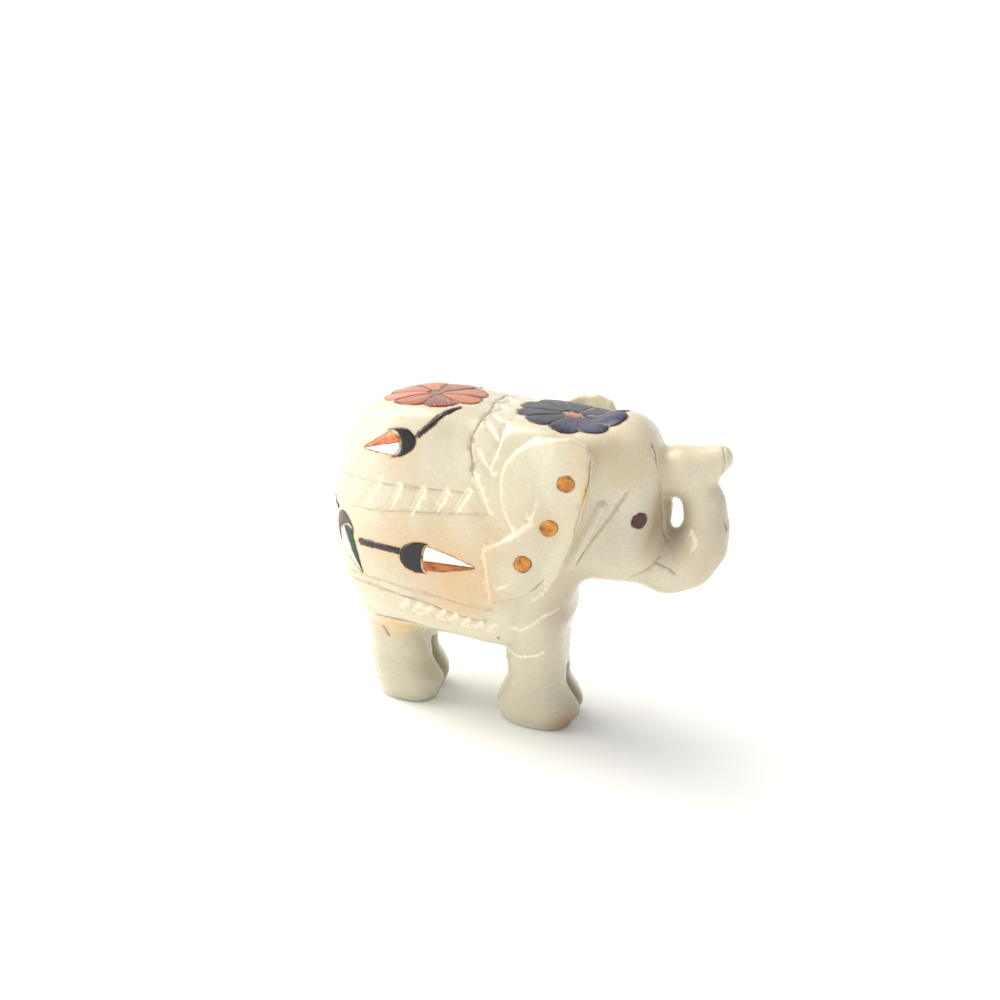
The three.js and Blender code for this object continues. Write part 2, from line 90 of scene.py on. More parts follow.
def lump(p, centre, radii, lengthwise, across):
    u, v, w = (np.abs(p[n] - centre[n]) / radii[n] for n in range(3))
    section = (v**across + w**across) ** (lengthwise / across)
    size = (u**lengthwise + section) ** (1 / lengthwise)
    slope = np.sqrt((u / radii[0]) ** 2 + (v / radii[1]) ** 2 + (w / radii[2]) ** 2)
    reach = np.sqrt(u * u + v * v + w * w) / np.maximum(slope, 1e-6)
    return (size - 1) * np.minimum(reach, 2 * min(radii))


def rod(p, start, end, startRadius, endRadius):
    axis = np.subtract(end, start).astype(float)
    length = math.sqrt(axis @ axis)
    offset = [p[n] - start[n] for n in range(3)]
    along = sum(offset[n] * axis[n] for n in range(3)) / length**2
    distance = np.sqrt(sum((offset[n] - along * axis[n]) ** 2 for n in range(3)))
    taper = (startRadius - endRadius) / length
    lean = taper / math.sqrt(max(1 - taper * taper, 1e-6))
    t = np.clip(along - distance * lean / length, 0, 1)
    return np.hypot(distance, (along - t) * length) - (startRadius + (endRadius - startRadius) * t)


def rodChain(p, points, radii, softness):
    distance = rod(p, points[0], points[1], radii[0], radii[1])
    for i in range(2, len(points)):
        piece = rod(p, points[i - 1], points[i], radii[i - 1], radii[i])
        distance = blend(distance, piece, softness)
    return distance


def outlineDistance(u, v, outline):
    nearest = np.full(np.shape(u), 1e9)
    inside = np.zeros(np.shape(u), bool)
    for (au, av), (bu, bv) in zip(outline, [outline[-1], *outline[:-1]]):
        du, dv = bu - au, bv - av
        t = np.clip(((u - au) * du + (v - av) * dv) / max(du * du + dv * dv, 1e-9), 0, 1)
        nearest = np.minimum(nearest, np.hypot(u - au - t * du, v - av - t * dv))
        if abs(dv) > 1e-9:
            inside ^= ((av > v) != (bv > v)) & (u < au + (v - av) * du / dv)
    return np.where(inside, -nearest, nearest)


def torso(p):
    rump = lump(p, [-18.8, 0, 41.6], [18.7, 14.4, 22.8], 2.1, 3.3)
    shoulders = lump(p, [-2.0, 0, 40.8], [13.0, 14.4, 22.6], 2.6, 3.3)
    belly = lump(p, [-11.2, 0, 32.6], [21.6, 13.4, 15.6], 2.6, 3.2)
    return blend(blend(rump, shoulders, 5), belly, 4)


def overFlat(p):  # back and crown are rubbed nearly flat under the flowers
    return p[2] - profile(p[0], [-32, -21, -13, -4, 5, 15], [59.7, 61.4, 61.9, 61.1, 61.5, 61.9])


def tail(p):
    path = [[-35.4, 0, 52], [-37.1, 0, 45], [-36.9, 0, 36], [-34.9, 0, 28]]
    return rodChain(p, path, [1.8, 1.7, 1.6, 2.3], 1.5)


def head(p):
    skull = lump(p, [13.0, 0, 48.2], [11.6, 10.2, 14.8], 2.9, 3.0)
    crown = lump(p, [6.5, 0, 50.8], [12.5, 13.4, 12.6], 2.6, 3.6)
    jaw = rodChain(p, [[12, 0, 39.5], [19, 0, 37.8], [25, 0, 36.4]], [8.2, 6.0, 4.6], 0.8)
    brow = lump(p, [16.0, 0, 56.5], [6.4, 7.6, 7.4], 2.3, 2.3)
    face = rodChain(p, [[20.0, 0, 54], [21.4, 0, 47], [22.0, 0, 40]], [4.4, 4.7, 5.2], 1)
    curlPath = [
        [23, 0, 38.5], [27.2, 0, 36.7], [30.4, 0, 37.9], [32.5, 0, 41.2],
        [32.9, 0, 44.9], [31.9, 0, 49.0], [29.6, 0, 53.2],
    ]
    curl = rodChain(p, curlPath, [5.6, 5.5, 4.9, 4.3, 3.7, 3.4, 3.6], 2)
    tipPath = [[22, 0, 53.6], [27, 0, 54.6], [30.5, 0, 56.2], [33.1, 0, 57.9]]
    tip = rodChain(p, tipPath, [4.4, 4.6, 3.3, 2.5], 1.2)
    trunk = blend(curl, tip, 1.2)
    dome = blend(blendCut(blend(skull, crown, 2.5), overFlat(p), 1.5), brow, 1.5)
    return blend(blend(blend(dome, jaw, 2.5), face, 1), trunk, 1.2)


def legPair(p, heights, centres, halfLengths, halfWidths):
    halfLength = profile(p[2], heights, halfLengths)
    halfWidth = profile(p[2], heights, halfWidths)
    u = np.abs(p[0] - profile(p[2], heights, centres)) / halfLength
    size = (u**2.6 + (np.abs(p[1]) / halfWidth) ** 2.6) ** (1 / 2.6)
    side = (size - 1) * np.minimum(halfLength, halfWidth)
    soleTrim = 0.6
    return blendCut(blendCut(side, -p[2] - soleTrim, 1.2), p[2] - heights[-1], 2)


def legs(p):
    front = legPair(
        p, [0, 3.0, 9.5, 14, 19, 25], [6.0, 6.2, 5.2, 4.5, 4.1, 3.0],
        [7.3, 8.4, 5.9, 6.1, 6.3, 8], [7.2, 8.0, 7.4, 8.0, 9.6, 11.5],
    )
    rear = legPair(
        p, [0, 4.0, 9.5, 15, 22], [-20.7, -20.8, -22.8, -23.8, -24],
        [6.2, 7.2, 6.4, 6.0, 8.0], [6.6, 7.8, 7.4, 8.2, 11],
    )
    return np.minimum(front, rear)


earOutline = [
    [-3.0, 52.5], [-2.6, 55.7], [-0.8, 58.5], [1.6, 60.6], [4.5, 62.0], [8.1, 62.6], [11.2, 61.7],
    [12.7, 59.2], [12.7, 53.8], [11.8, 47.8], [10.4, 42.0], [8.9, 36.9], [7.9, 34.2], [3.6, 31.8],
    [-2.7, 29.0], [-3.6, 33.5], [-4.9, 39.2], [-2.0, 41.0], [0.2, 43.4], [-1.6, 46.5], [-2.6, 49.1],
]


def ears(p, coat):
    earRise = 1.8
    flare = np.clip((p[2] - 42) / 20, 0, 1) ** 1.3 * np.clip((p[0] + 4) / 10, 0, 1) * 2.6
    onTheRight = np.clip(0.5 - p[1] / 4, 0, 1)
    drop = 0.9 * np.clip((p[2] - 52) / 9, 0, 1) * onTheRight  # the right ear is rubbed lower
    shell = lump(p, [4, 0, 42], [24, 15.2, 24], 2.6, 3.6) - flare
    sheet = np.minimum(shell, coat - earRise)
    trimmed = blendCut(sheet, outlineDistance(p[0], p[2] + drop, earOutline), 0.5)
    return blendCut(trimmed, 9.5 + flare * 1.6 - np.abs(p[1]), 0.8)


def cloth(p, barrel):
    clothRise = 0.7
    hemHeight = 20.4 - 0.14 * (p[0] + 15)
    clothFront = 3.0
    return blendCut(blendCut(barrel - clothRise, hemHeight - p[2], 0.5), p[0] - clothFront, 3)


def stone(points):
    p = [points[:, n] for n in range(3)]
    legSlotWidth = 3.0
    legSlotTop = 11.8
    barrel = blendCut(torso(p), overFlat(p), 2.5)
    slot = blendCut(np.abs(p[1]) - legSlotWidth / 2, p[2] - legSlotTop, 1.5)
    naked = blendCut(blend(blend(barrel, head(p), 3), legs(p), 2.5), -slot, 0.6)
    dressed = blend(blend(naked, cloth(p, barrel), 0.4), tail(p), 0.8)
    whole = blend(dressed, ears(p, naked), 0.4)
    return np.maximum(whole, -p[2])  # rubbed flat at the floor


def slopeAt(points, step=0.05):
    slopes = []
    for axis in np.eye(3):
        slopes.append((stone(points + axis * step) - stone(points - axis * step)) / (2 * step))
    return np.stack(slopes, 1)


def settle(points, rounds=3):  # moves points along the slope until they lie on the stone
    for _ in range(rounds):
        slope = slopeAt(points)
        steep = np.maximum((slope**2).sum(1), 0.2)
        move = np.clip(stone(points) / steep, -0.4, 0.4)
        points = points - slope * move[:, None]
    return points


def dropOn(points, direction, far=40):  # where straight lines from the points meet the stone
    points = points.copy()
    travelled = np.zeros(len(points))
    for _ in range(120):
        gap = stone(points)
        moving = (np.abs(gap) > 1e-4) & (travelled < far)
        if not moving.any():
            break
        step = np.where(moving, gap * 0.6, 0)
        points += step[:, None] * direction
        travelled += step
    return points


# What the chisel cut: each line lies on the right side and is mirrored to the left one.
# Strokes are broad cuts that leave fresh white stone, lines are fine ones darkened with dirt, where a line
# lies in a crease or under the cloth's edge its dark is painted shade as well, and a strip of negative depth
# stands proud. Widths are half widths at the two ends, in millimetres.
def line(points, width=(0.22, 0.22), depth=0.16, dirt=0.5):
    return {"points": points, "width": width, "depth": depth, "fresh": 0.0, "dirt": dirt}


def stroke(points, width=(0.6, 0.45), depth=0.42):
    return {"points": points, "width": width, "depth": depth, "fresh": 1.0, "dirt": 0.12}


def neckBand():  # the band that runs up the side and over the back behind the ears
    rear = [(-8.6, 0, 62), (-8.0, -6.7, 61.9), (-8.6, -11.3, 60.6), (-9.4, -12.9, 58.4),
            (-9.2, -13.5, 56.8), (-8.5, -14.2, 54.6), (-8.3, -14.6, 52.2)]
    front = [(-3.4, -3, 61.6), (-3.6, -9.0, 61.4), (-4.0, -12.5, 59.3), (-4.7, -13.6, 57),
             (-5.5, -14.4, 53.8)]
    zigzag = [
        [(-8.3, 0.5, 62), (-6.0, -2.6, 61.9)],
        [(-6.0, -2.6, 61.9), (-7.6, -6.2, 61.8)],
        [(-7.7, -6.4, 61.8), (-5.4, -9.3, 61.3), (-3.6, -9.0, 61.4)],
        [(-7.4, -10.9, 60.9), (-4.3, -13.0, 58.5)],
        [(-4.0, -9.8, 61.2), (-4.2, -12.6, 59.2), (-4.7, -13.6, 57.0)],
        [(-8.0, -13.7, 56.4), (-4.8, -14.5, 53.0)],
        [(-4.7, -13.6, 57.0), (-5.5, -14.3, 54.2)],
    ]
    cuts = [line(rear, (0.3, 0.3), 0.2, 0.6), line(front, (0.22, 0.22), 0.12, 0.3)]
    cuts += [stroke(points, (0.62, 0.42), 0.42) for points in zigzag]
    cuts.append(stroke([(-8.0, -14.6, 52.2), (-4.7, -15.1, 46.0)], (0.85, 0.35), 0.5))
    return cuts


def flankBand():  # the band of slanting cuts round the flank and the rump
    top = [(-37, -2, 46.5), (-34.6, -8, 46.9), (-31, -11.7, 47.3), (-27.5, -13.6, 47.6),
           (-22, -14.9, 48.1), (-17.1, -15, 48.4), (-9.6, -14.9, 48.9)]
    bottom = [(-37.4, -2, 41), (-35.4, -8, 41.3), (-32, -11.7, 41.6), (-29.4, -13, 42),
              (-25.7, -14.4, 42.4), (-19.2, -15.2, 43.7), (-11.1, -15.2, 44.7), (-4.7, -15.2, 45.7)]
    cuts = [line(top, (0.25, 0.25), 0.16, 0.35), line(bottom, (0.25, 0.25), 0.16, 0.35)]
    slants = [((-25.7, -14.1, 47.7), (-29.2, -13.2, 42.5)), ((-21.5, -14.9, 48.1), (-22.9, -14.9, 44.0)),
              ((-16.9, -15.0, 48.2), (-18.7, -15.2, 43.8)), ((-12.7, -14.8, 48.5), (-14.2, -15.1, 44.8)),
              ((-8.7, -14.9, 49.3), (-10.7, -15.1, 45.2)), ((-30.6, -11.8, 47.2), (-32.3, -11.6, 42.0)),
              ((-34.3, -8.4, 46.9), (-35.4, -7.8, 41.8))]
    for start, end in slants:
        cuts.append(stroke([start, end], (0.8, 0.55), 0.5))
    return cuts


def hem():  # the saddle cloth's hem: two lines and a row of small cuts under them
    upper = [(-31.8, -11, 28.6), (-26.6, -13.8, 28.8), (-22.7, -14.7, 29.1), (-19.6, -15.1, 28.6),
             (-12.5, -15.1, 28.1), (-5.3, -15.1, 27.3), (-2.6, -15.2, 27.2)]
    lower = [(-31.6, -10.8, 27.0), (-26.5, -13.5, 27.3), (-21.6, -14.6, 27.1), (-14.9, -14.8, 26.3),
             (-9.4, -14.7, 25.0), (-3.5, -14.4, 24.6)]
    cuts = [line(upper, (0.22, 0.22), 0.15, 0.4), line(lower, (0.28, 0.28), 0.2, 0.45)]
    count = 8
    for n in range(count):
        x = -20 + n * 2.4
        z = 26.6 - n * 0.3
        cuts.append(stroke([(x + 1.3, -14.4, z - 0.5), (x, -14.2, z - 2.1)], (0.5, 0.3), 0.3))
        if n % 2:
            cuts.append(stroke([(x, -14.2, z - 2.3), (x + 1.6, -14.2, z - 2.7)], (0.3, 0.2), 0.2))
    return cuts


def earLines():
    cuts = [
        # painted shade: this line runs in the crease at the ear's front edge, and its full dark stands in for
        # the shade in the crease as well as dirt in the groove
        line([(12.3, -15.8, 58.6), (12.5, -15.8, 55.3), (12.2, -15.8, 53.1)], (0.3, 0.22), 0.35, 1.0),
        line([(12.2, -15.8, 53.1), (11.7, -15.6, 49.6), (11.0, -15.2, 45.7), (10.0, -13.0, 41.6),
              (9.2, -11.0, 38.1)], (0.3, 0.3), 0.3, 0.3),
        line([(18.6, -9.8, 52.1), (16.9, -10.6, 48.6), (15.2, -11.0, 45.6), (13.1, -11.1, 41.7),
              (11.1, -9.3, 36.9)], (0.45, 0.45), 0.42, 0.18),
        line([(-2.6, -16.1, 29.9), (0.6, -15.0, 30.2), (4.0, -15.3, 32.2), (6.5, -15.1, 35.0)],
             (0.3, 0.2), 0.2, 0.5),
        stroke([(-4.7, -15.2, 39.4), (-3.4, -15.4, 34), (-2.5, -15.6, 29.6)], (0.35, 0.45), 0.3),
        stroke([(-1.6, -16.0, 46.8), (0.4, -16.1, 43.2)], (0.4, 0.5), 0.4),
        stroke([(0.4, -16.1, 43.2), (2.9, -16.0, 45.6), (3.7, -15.8, 50.0)], (0.5, 0.18), 0.3),
        stroke([(0.2, -16.1, 42.6), (-2.4, -15.9, 41.0), (-4.6, -15.2, 39.6)], (0.5, 0.4), 0.3),
        stroke([(-1.6, -16.0, 32.4), (0.2, -16.0, 33.4)], (0.3, 0.2), 0.18),
        stroke([(4.7, -13.2, 29.9), (6.8, -12.3, 32.0)], (0.45, 0.3), 0.3),
        stroke([(1.5, -13.7, 23.7), (2.7, -12.6, 23.1), (6.4, -11.7, 26.2), (9.0, -8.8, 27.2)],
               (0.4, 0.2), 0.26),
    ]
    strip = [(14.6, -11.6, 49.5), (13.2, -12.2, 45.0), (11.8, -11.5, 41.0), (10.2, -10.0, 37.2)]
    cuts.append({"points": strip, "width": (1.3, 1.9), "depth": -0.9, "fresh": 0.0, "dirt": 0.0})
    return cuts


def faceLines():
    return [
        line([(21.3, -5.0, 60.2), (22.1, -5.4, 58.7), (22.7, -6.1, 56.5)], (0.25, 0.12), 0.3, 1.0),
        line([(21.0, -5.4, 34.6), (23.4, -5.7, 36.4), (24.9, -5.8, 38.5), (25.6, -5.4, 39.7)],
             (0.35, 0.3), 0.3, 0.3),
        line([(24.9, -5.8, 38.5), (27.3, -5.6, 37.9), (28.9, -5.5, 36.9)], (0.35, 0.3), 0.3, 0.3),
        line([(24.3, -4.5, 51.3), (25.3, -3.6, 46.4), (26.6, -3.6, 42.6)], (0.6, 0.5), 0.25, 0.15),
        stroke([(30.9, -3.0, 44.6), (31.8, -3.6, 42.5), (31.3, -3.9, 41.4)], (0.5, 0.35), 0.2),
        line([(33.6, -1.0, 60.4), (34.2, -2.3, 58.6), (34.2, -2.2, 56.6), (33.6, -0.8, 55.4)],
             (0.3, 0.3), 0.28, 0.15),
        line([(36.0, -2.1, 46.6), (36.4, -2.1, 45.6)], (0.3, 0.3), 0.2, 0.9),
    ]


def legLines():
    return [
        # painted shadow: the first line runs just under the cloth's rear edge, and its dark stands in for the
        # shadow under the cloth as well as dirt in the groove
        line([(-25.6, -10.6, 19.9), (-22.7, -11.4, 20.1), (-19.6, -11.5, 20.0), (-15.5, -11.0, 19.6)],
             (0.35, 0.35), 0.3, 0.8),
        line([(-24.9, -8.4, 16.4), (-23.6, -8.2, 14.4)], (0.3, 0.2), 0.3, 1.0),
        stroke([(-0.4, -8.0, 15.9), (1.7, -7.9, 15.3), (4.1, -8.6, 16.0), (7.0, -8.8, 17.7)],
               (0.3, 0.3), 0.22),
        line([(-1.1, -12.9, 21.2), (-0.9, -12.9, 20.8)], (0.3, 0.3), 0.25, 1.0),
    ]


def drape(points, spacing=1.2):  # a line laid on the stone through the given points
    laid = []
    for start, end in zip(points[:-1], points[1:]):
        start, end = np.array(start, float), np.array(end, float)
        count = max(1, round(float(np.linalg.norm(end - start)) / spacing))
        laid += [start + (end - start) * n / count for n in range(count)]
    laid.append(np.array(points[-1], float))
    return settle(np.array(laid), 8)


def segmentsOf(cuts):
    segments = []
    for cut in cuts:
        laid = drape(cut["points"])
        widths = np.linspace(*cut["width"], len(laid))
        for n in range(len(laid) - 1):
            segments.append((laid[n], laid[n + 1], widths[n], widths[n + 1], cut))
    return segments


def distanceToRun(points, start, end):  # and how far along the straight run the nearest place is
    axis = end - start
    offset = points - start
    t = np.clip(offset @ axis / (axis @ axis), 0, 1)
    return np.linalg.norm(offset - t[:, None] * axis, axis=1), t


def foldOver(points):  # the left side's points, brought to the right side
    return np.column_stack([points[:, 0], -np.abs(points[:, 1]), points[:, 2]])


# Depth of the cuts, how fresh the stone is in them, and how dark with dirt and painted shade, at points of
# the stone
def chisel(points, segments):
    reachBeyond = 1.2
    folded = foldOver(points)
    depth, fresh, dirt = np.zeros((3, len(points)))
    gap = np.full(len(points), 9.0)
    for start, end, startWidth, endWidth, cut in segments:
        reach = max(startWidth, endWidth) + reachBeyond
        lowCorner = np.minimum(start, end) - reach
        highCorner = np.maximum(start, end) + reach
        near = np.flatnonzero(((folded > lowCorner) & (folded < highCorner)).all(1))
        if not len(near):
            continue
        distance, t = distanceToRun(folded[near], start, end)
        width = startWidth + (endWidth - startWidth) * t
        gap[near] = np.minimum(gap[near], distance - width)
        share = np.clip(1 - distance / width, 0, 1)
        rounded = share if cut["fresh"] else share * share * (3 - 2 * share)
        here = cut["depth"] * rounded
        depth[near] = np.where(np.abs(here) > np.abs(depth[near]), here, depth[near])
        fresh[near] = np.maximum(fresh[near], cut["fresh"] * np.clip(share * 2.5, 0, 1))
        dirt[near] = np.maximum(dirt[near], cut["dirt"] * np.clip(share * 1.6, 0, 1))
    return depth, fresh, dirt, gap


# Seats: a place on the stone with its outward normal and two directions along the surface
def seatAt(place, outward, heading):
    outward = np.array(outward, float) / np.linalg.norm(outward)
    origin = dropOn((np.array(place, float) + outward * 10)[None], -outward)[0]
    normal = slopeAt(origin[None], 0.6)[0]
    normal /= np.linalg.norm(normal)
    ahead = np.array(heading, float)
    ahead -= normal * (ahead @ normal)
    ahead /= np.linalg.norm(ahead)
    return {"origin": origin, "normal": normal, "ahead": ahead, "aside": np.cross(normal, ahead)}


def flowerSeat(flower):
    return seatAt((flower["x"], flower["y"], 70), (0, 0, 1), (1, 0, 0))


stemRuns = {  # places that each stem passes, and its width
    "rump": ([(-13.3, -7.9, 61.9), (-14.7, -9.7, 61.1), (-16.2, -11.3, 60.0), (-17.7, -12.5, 58.6),
              (-18.9, -13.1, 57.5)], 0.95),
    "garland": ([(-28.6, -13.5, 35.6), (-25.8, -14.5, 35.7), (-22.9, -15.1, 35.8),
                 (-20.5, -15.3, 35.8)], 1.15),
    "corner": ([(-37.6, -4.6, 42.6), (-36.6, -6.8, 40.6), (-35.3, -8.8, 39.7)], 0.85),
}
budPlaces = {  # place, outward, heading
    "rump": ((-19.2, -12.7, 56.3), (-0.05, -0.9, 0.44), (-9.9, 0.7, -3.2)),
    "garland": ((-20.3, -14.6, 35.2), (0, -1, 0), (14, -0.3, 0.1)),
    "corner": ((-34.6, -9.9, 39.4), (-0.6, -0.8, 0), (6.7, -2.9, -9.8)),
}
earDots = {"diameter": 2.9, "places": [(8.6, -16, 54.0), (6.5, -15.5, 45.3), (2.6, -15.5, 37.9)]}
eye = {"diameter": 3.0, "place": (21.4, -8.6, 46.9), "outward": (0.35, -1, 0.05)}
stemPaths = {}  # each stem's path on the stone, found by setStones


# Lays flat points (along, aside, height) on the stone at a seat
def pressOn(seat, flat):
    above = seat["origin"] + flat[:, :1] * seat["ahead"] + flat[:, 1:2] * seat["aside"]
    laid = dropOn(above + seat["normal"] * 6, -seat["normal"], 12)
    return laid + flat[:, 2:] * seat["normal"]


# Outlines of the cut stones, as two edges that run from one end of the stone to the other
petalHalfWidths = [(0, 0.2), (0.3, 0.62), (0.62, 1.0), (0.84, 0.93), (0.95, 0.6), (1, 0)]  # root to tip
petalCrowding = 1.6  # rows crowd towards the tip
petalJoint = glueLine * 0.4


def petalRoot(flower):
    return flower["centre"] / 2 + glueLine * 1.1


def petalEdges(flower, steps=14):
    share = math.tan(math.pi / flower["petals"])
    root = petalRoot(flower)
    t = 1 - (1 - np.linspace(0, 1, steps)) ** petalCrowding
    along = root + (flower["radius"] - root) * t
    half = np.interp(t, *zip(*petalHalfWidths)) * flower["petalWidth"] / 2
    half = np.minimum(half, along * share - petalJoint)
    return np.column_stack([along, -half]), np.column_stack([along, half])


def budPetalEdges(bud, side, steps=20):
    start = calyxLength * bud["notch"] + 0.06
    along = start + (bud["length"] - start) * np.linspace(0, 1, steps) ** 1.5
    half = bud["width"] / 2
    bends = [0, calyxLength, bud["length"] * 0.68, bud["length"]]
    taper = np.interp(along, bends, [0.9, 0.86, 0.5, 0.02]) * half
    hollow = calyxLength * (bud["notch"] - 0.06)
    depth = calyxLength * 1.14 - hollow
    crescent = np.clip((along - glueLine - hollow) / depth, 0, 2) ** 0.45 * half  # follows the calyx
    outer = np.minimum(taper, crescent) + glueLine * 0.2
    middle = bud.get("lean", 0) * (bud["length"] - along) / (bud["length"] - start)
    inner = middle * side + glueLine * 0.3
    inner = np.minimum(np.abs(inner), outer) * np.sign(inner)
    edges = np.column_stack([along, inner * side]), np.column_stack([along, outer * side])
    return edges if side > 0 else edges[::-1]


def calyxEdges(bud, steps=25):
    t = np.linspace(-1, 1, steps)
    half = bud["width"] / 2
    across = half * np.sin(t * math.pi / 2) * (1 + 0.1 * np.cos(t * math.pi / 2))
    back = calyxLength * 1.14 * (1 - np.cos(t * math.pi / 2) ** 0.85)
    hollow = bud["notch"] - 0.1
    front = calyxLength * (hollow + (1.14 - hollow) * np.abs(t) ** 2.2)
    return np.column_stack([front, across * 0.97]), np.column_stack([back, across])


def outlineOf(edges):
    return [tuple(point) for point in [*edges[0], *edges[1][::-1]]]


def circleOutline(diameter, sides=24):
    angles = 2 * math.pi * np.arange(sides) / sides
    return [(diameter / 2 * math.cos(a), diameter / 2 * math.sin(a)) for a in angles]


def turned(outline, angle):
    cos, sin = math.cos(angle), math.sin(angle)
    return [(u * cos - v * sin, u * sin + v * cos) for u, v in outline]


stoneSet = {"rise": 0.05, "depth": 0.7, "edge": 0.16, "wear": 0.09}  # proud of the marble, sunk, worn edge


# A closed flat stone between two edges, its top a little proud and worn round at the rim
def loftStone(lower, upper, across=9):
    t = np.linspace(0, 1, across)[None, :, None]
    sheet = lower[:, None] * (1 - t) + upper[:, None] * t
    rows = len(lower)
    flat = sheet.reshape(-1, 2)
    inward = -outlineDistance(flat[:, 0], flat[:, 1], outlineOf((lower, upper)))
    worn = np.clip(1 - inward / stoneSet["edge"], 0, 1) ** 2
    top = np.column_stack([flat, stoneSet["rise"] - stoneSet["wear"] * worn])
    bottom = np.column_stack([flat, np.full(len(flat), -stoneSet["depth"])])
    return closedSheet(top, bottom, rows, across)


def closedSheet(top, bottom, rows, across):  # two grids of points joined by a wall
    count = len(top)
    number = np.arange(count).reshape(rows, across)
    faces = []
    for i in range(rows - 1):
        for j in range(across - 1):
            quad = [number[i, j], number[i + 1, j], number[i + 1, j + 1], number[i, j + 1]]
            faces.append(quad)
            faces.append([q + count for q in quad[::-1]])
    rim = [*number[:, 0], *number[-1, 1:], *number[-2::-1, -1], *number[0, -2:0:-1]]
    for a, b in zip(rim, [*rim[1:], rim[0]]):
        faces.append([a, a + count, b + count, b])
    return np.concatenate([top, bottom]), faces


# A closed strip of stone along a path on the marble, its thickness a little uneven
def loftStem(path, width, across=5):
    slope = slopeAt(path, 0.4)
    normal = slope / np.linalg.norm(slope, axis=1)[:, None]
    forward = np.gradient(path, axis=0)
    aside = np.cross(normal, forward)
    aside /= np.linalg.norm(aside, axis=1)[:, None]
    length = np.arange(len(path))
    half = width / 2 * (1 + 0.13 * np.sin(length * 1.9) + 0.08 * np.sin(length * 0.7))
    t = np.linspace(-1, 1, across)
    flat = path[:, None] + aside[:, None] * (t[None, :, None] * half[:, None, None])
    sheet = settle(flat.reshape(-1, 3), 3).reshape(len(path), across, 3)
    worn = stoneSet["rise"] - stoneSet["wear"] * np.abs(t) ** 4
    top = sheet + normal[:, None] * worn[None, :, None]
    bottom = sheet - normal[:, None] * stoneSet["depth"]
    return closedSheet(top.reshape(-1, 3), bottom.reshape(-1, 3), len(path), across)


# Adds a node, sets it up, links or fills its inputs and gives back one of its outputs. Inputs go by
# name or number: a Map Range has the value at 0, its range at 1 and 2 and the new range at 3 and 4
def addNode(tree, kind, inputs=None, out=0, **settings):
    node = tree.nodes.new(kind)
    for name, value in settings.items():
        setattr(node, name, value)
    for socket, value in (inputs or {}).items():
        if isinstance(value, bpy.types.NodeSocket):
            tree.links.new(value, node.inputs[socket])
        else:
            node.inputs[socket].default_value = value
    return node.outputs[out] if len(node.outputs) else node


colourMix = {"out": 2, "data_type": "RGBA"}  # a Mix of colours has its share at 0, the colours at 6 and 7


def linear(hexColour):  # sRGB hex to the linear colour that nodes take
    channels = [int(hexColour[n:n + 2], 16) / 255 for n in (1, 3, 5)]
    return tuple(c / 12.92 if c <= 0.04045 else ((c + 0.055) / 1.055) ** 2.4 for c in channels) + (1.0,)


def newMaterial(name):
    material = bpy.data.materials.new(name)
    material.use_nodes = True
    material.node_tree.nodes.clear()
    return material, material.node_tree


def newPiece(name, vertices, faces, material, smooth=True):
    mesh = bpy.data.meshes.new(name)
    mesh.from_pydata([tuple(v) for v in vertices], [], [tuple(int(n) for n in f) for f in faces])
    mesh.materials.append(material)
    if smooth:
        mesh.shade_smooth()
    piece = bpy.data.objects.new(name, mesh)
    bpy.context.scene.collection.objects.link(piece)
    return piece


def closeUp(piece, distance=1e-6):
    mesh = bmesh.new()
    mesh.from_mesh(piece.data)
    bmesh.ops.remove_doubles(mesh, verts=mesh.verts, dist=distance)
    bmesh.ops.dissolve_degenerate(mesh, edges=mesh.edges, dist=distance)
    bmesh.ops.recalc_face_normals(mesh, faces=mesh.faces)
    mesh.to_mesh(piece.data)
    mesh.free()


def fit(piece, slotName, *nodes):
    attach(piece, "root")
    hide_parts(*nodes)


# White marble: translucent, rubbed by hand to a soft gloss, yellowed where it was handled, and darkened with
# painted shade where the light from the left does not reach
marbleLook = {
    # the darker brown among these colours is painted shade for the sides away from the light
    "white": "#d3ccb6", "cream": "#d3b48a", "grey": "#b9b69f", "shade": "#94795a", "fresh": "#f4ead0",
    # the dark brown of the carved lines is dirt, and painted shade in creases and under the cloth's edge
    "dirt": "#7a5a35", "cement": "#4a2f1a", "halo": "#b98a52", "yellow": "#d9b06a",
    "roughness": 0.24, "freshRoughness": 0.55, "translucency": 0.25,
    "cloudSize": 14.0, "patchSize": 2.4, "crystalSize": 0.6, "scratchSize": 0.35,  # mm
    "scratchDepth": 0.06, "lightReach": 1.2,  # mm
}


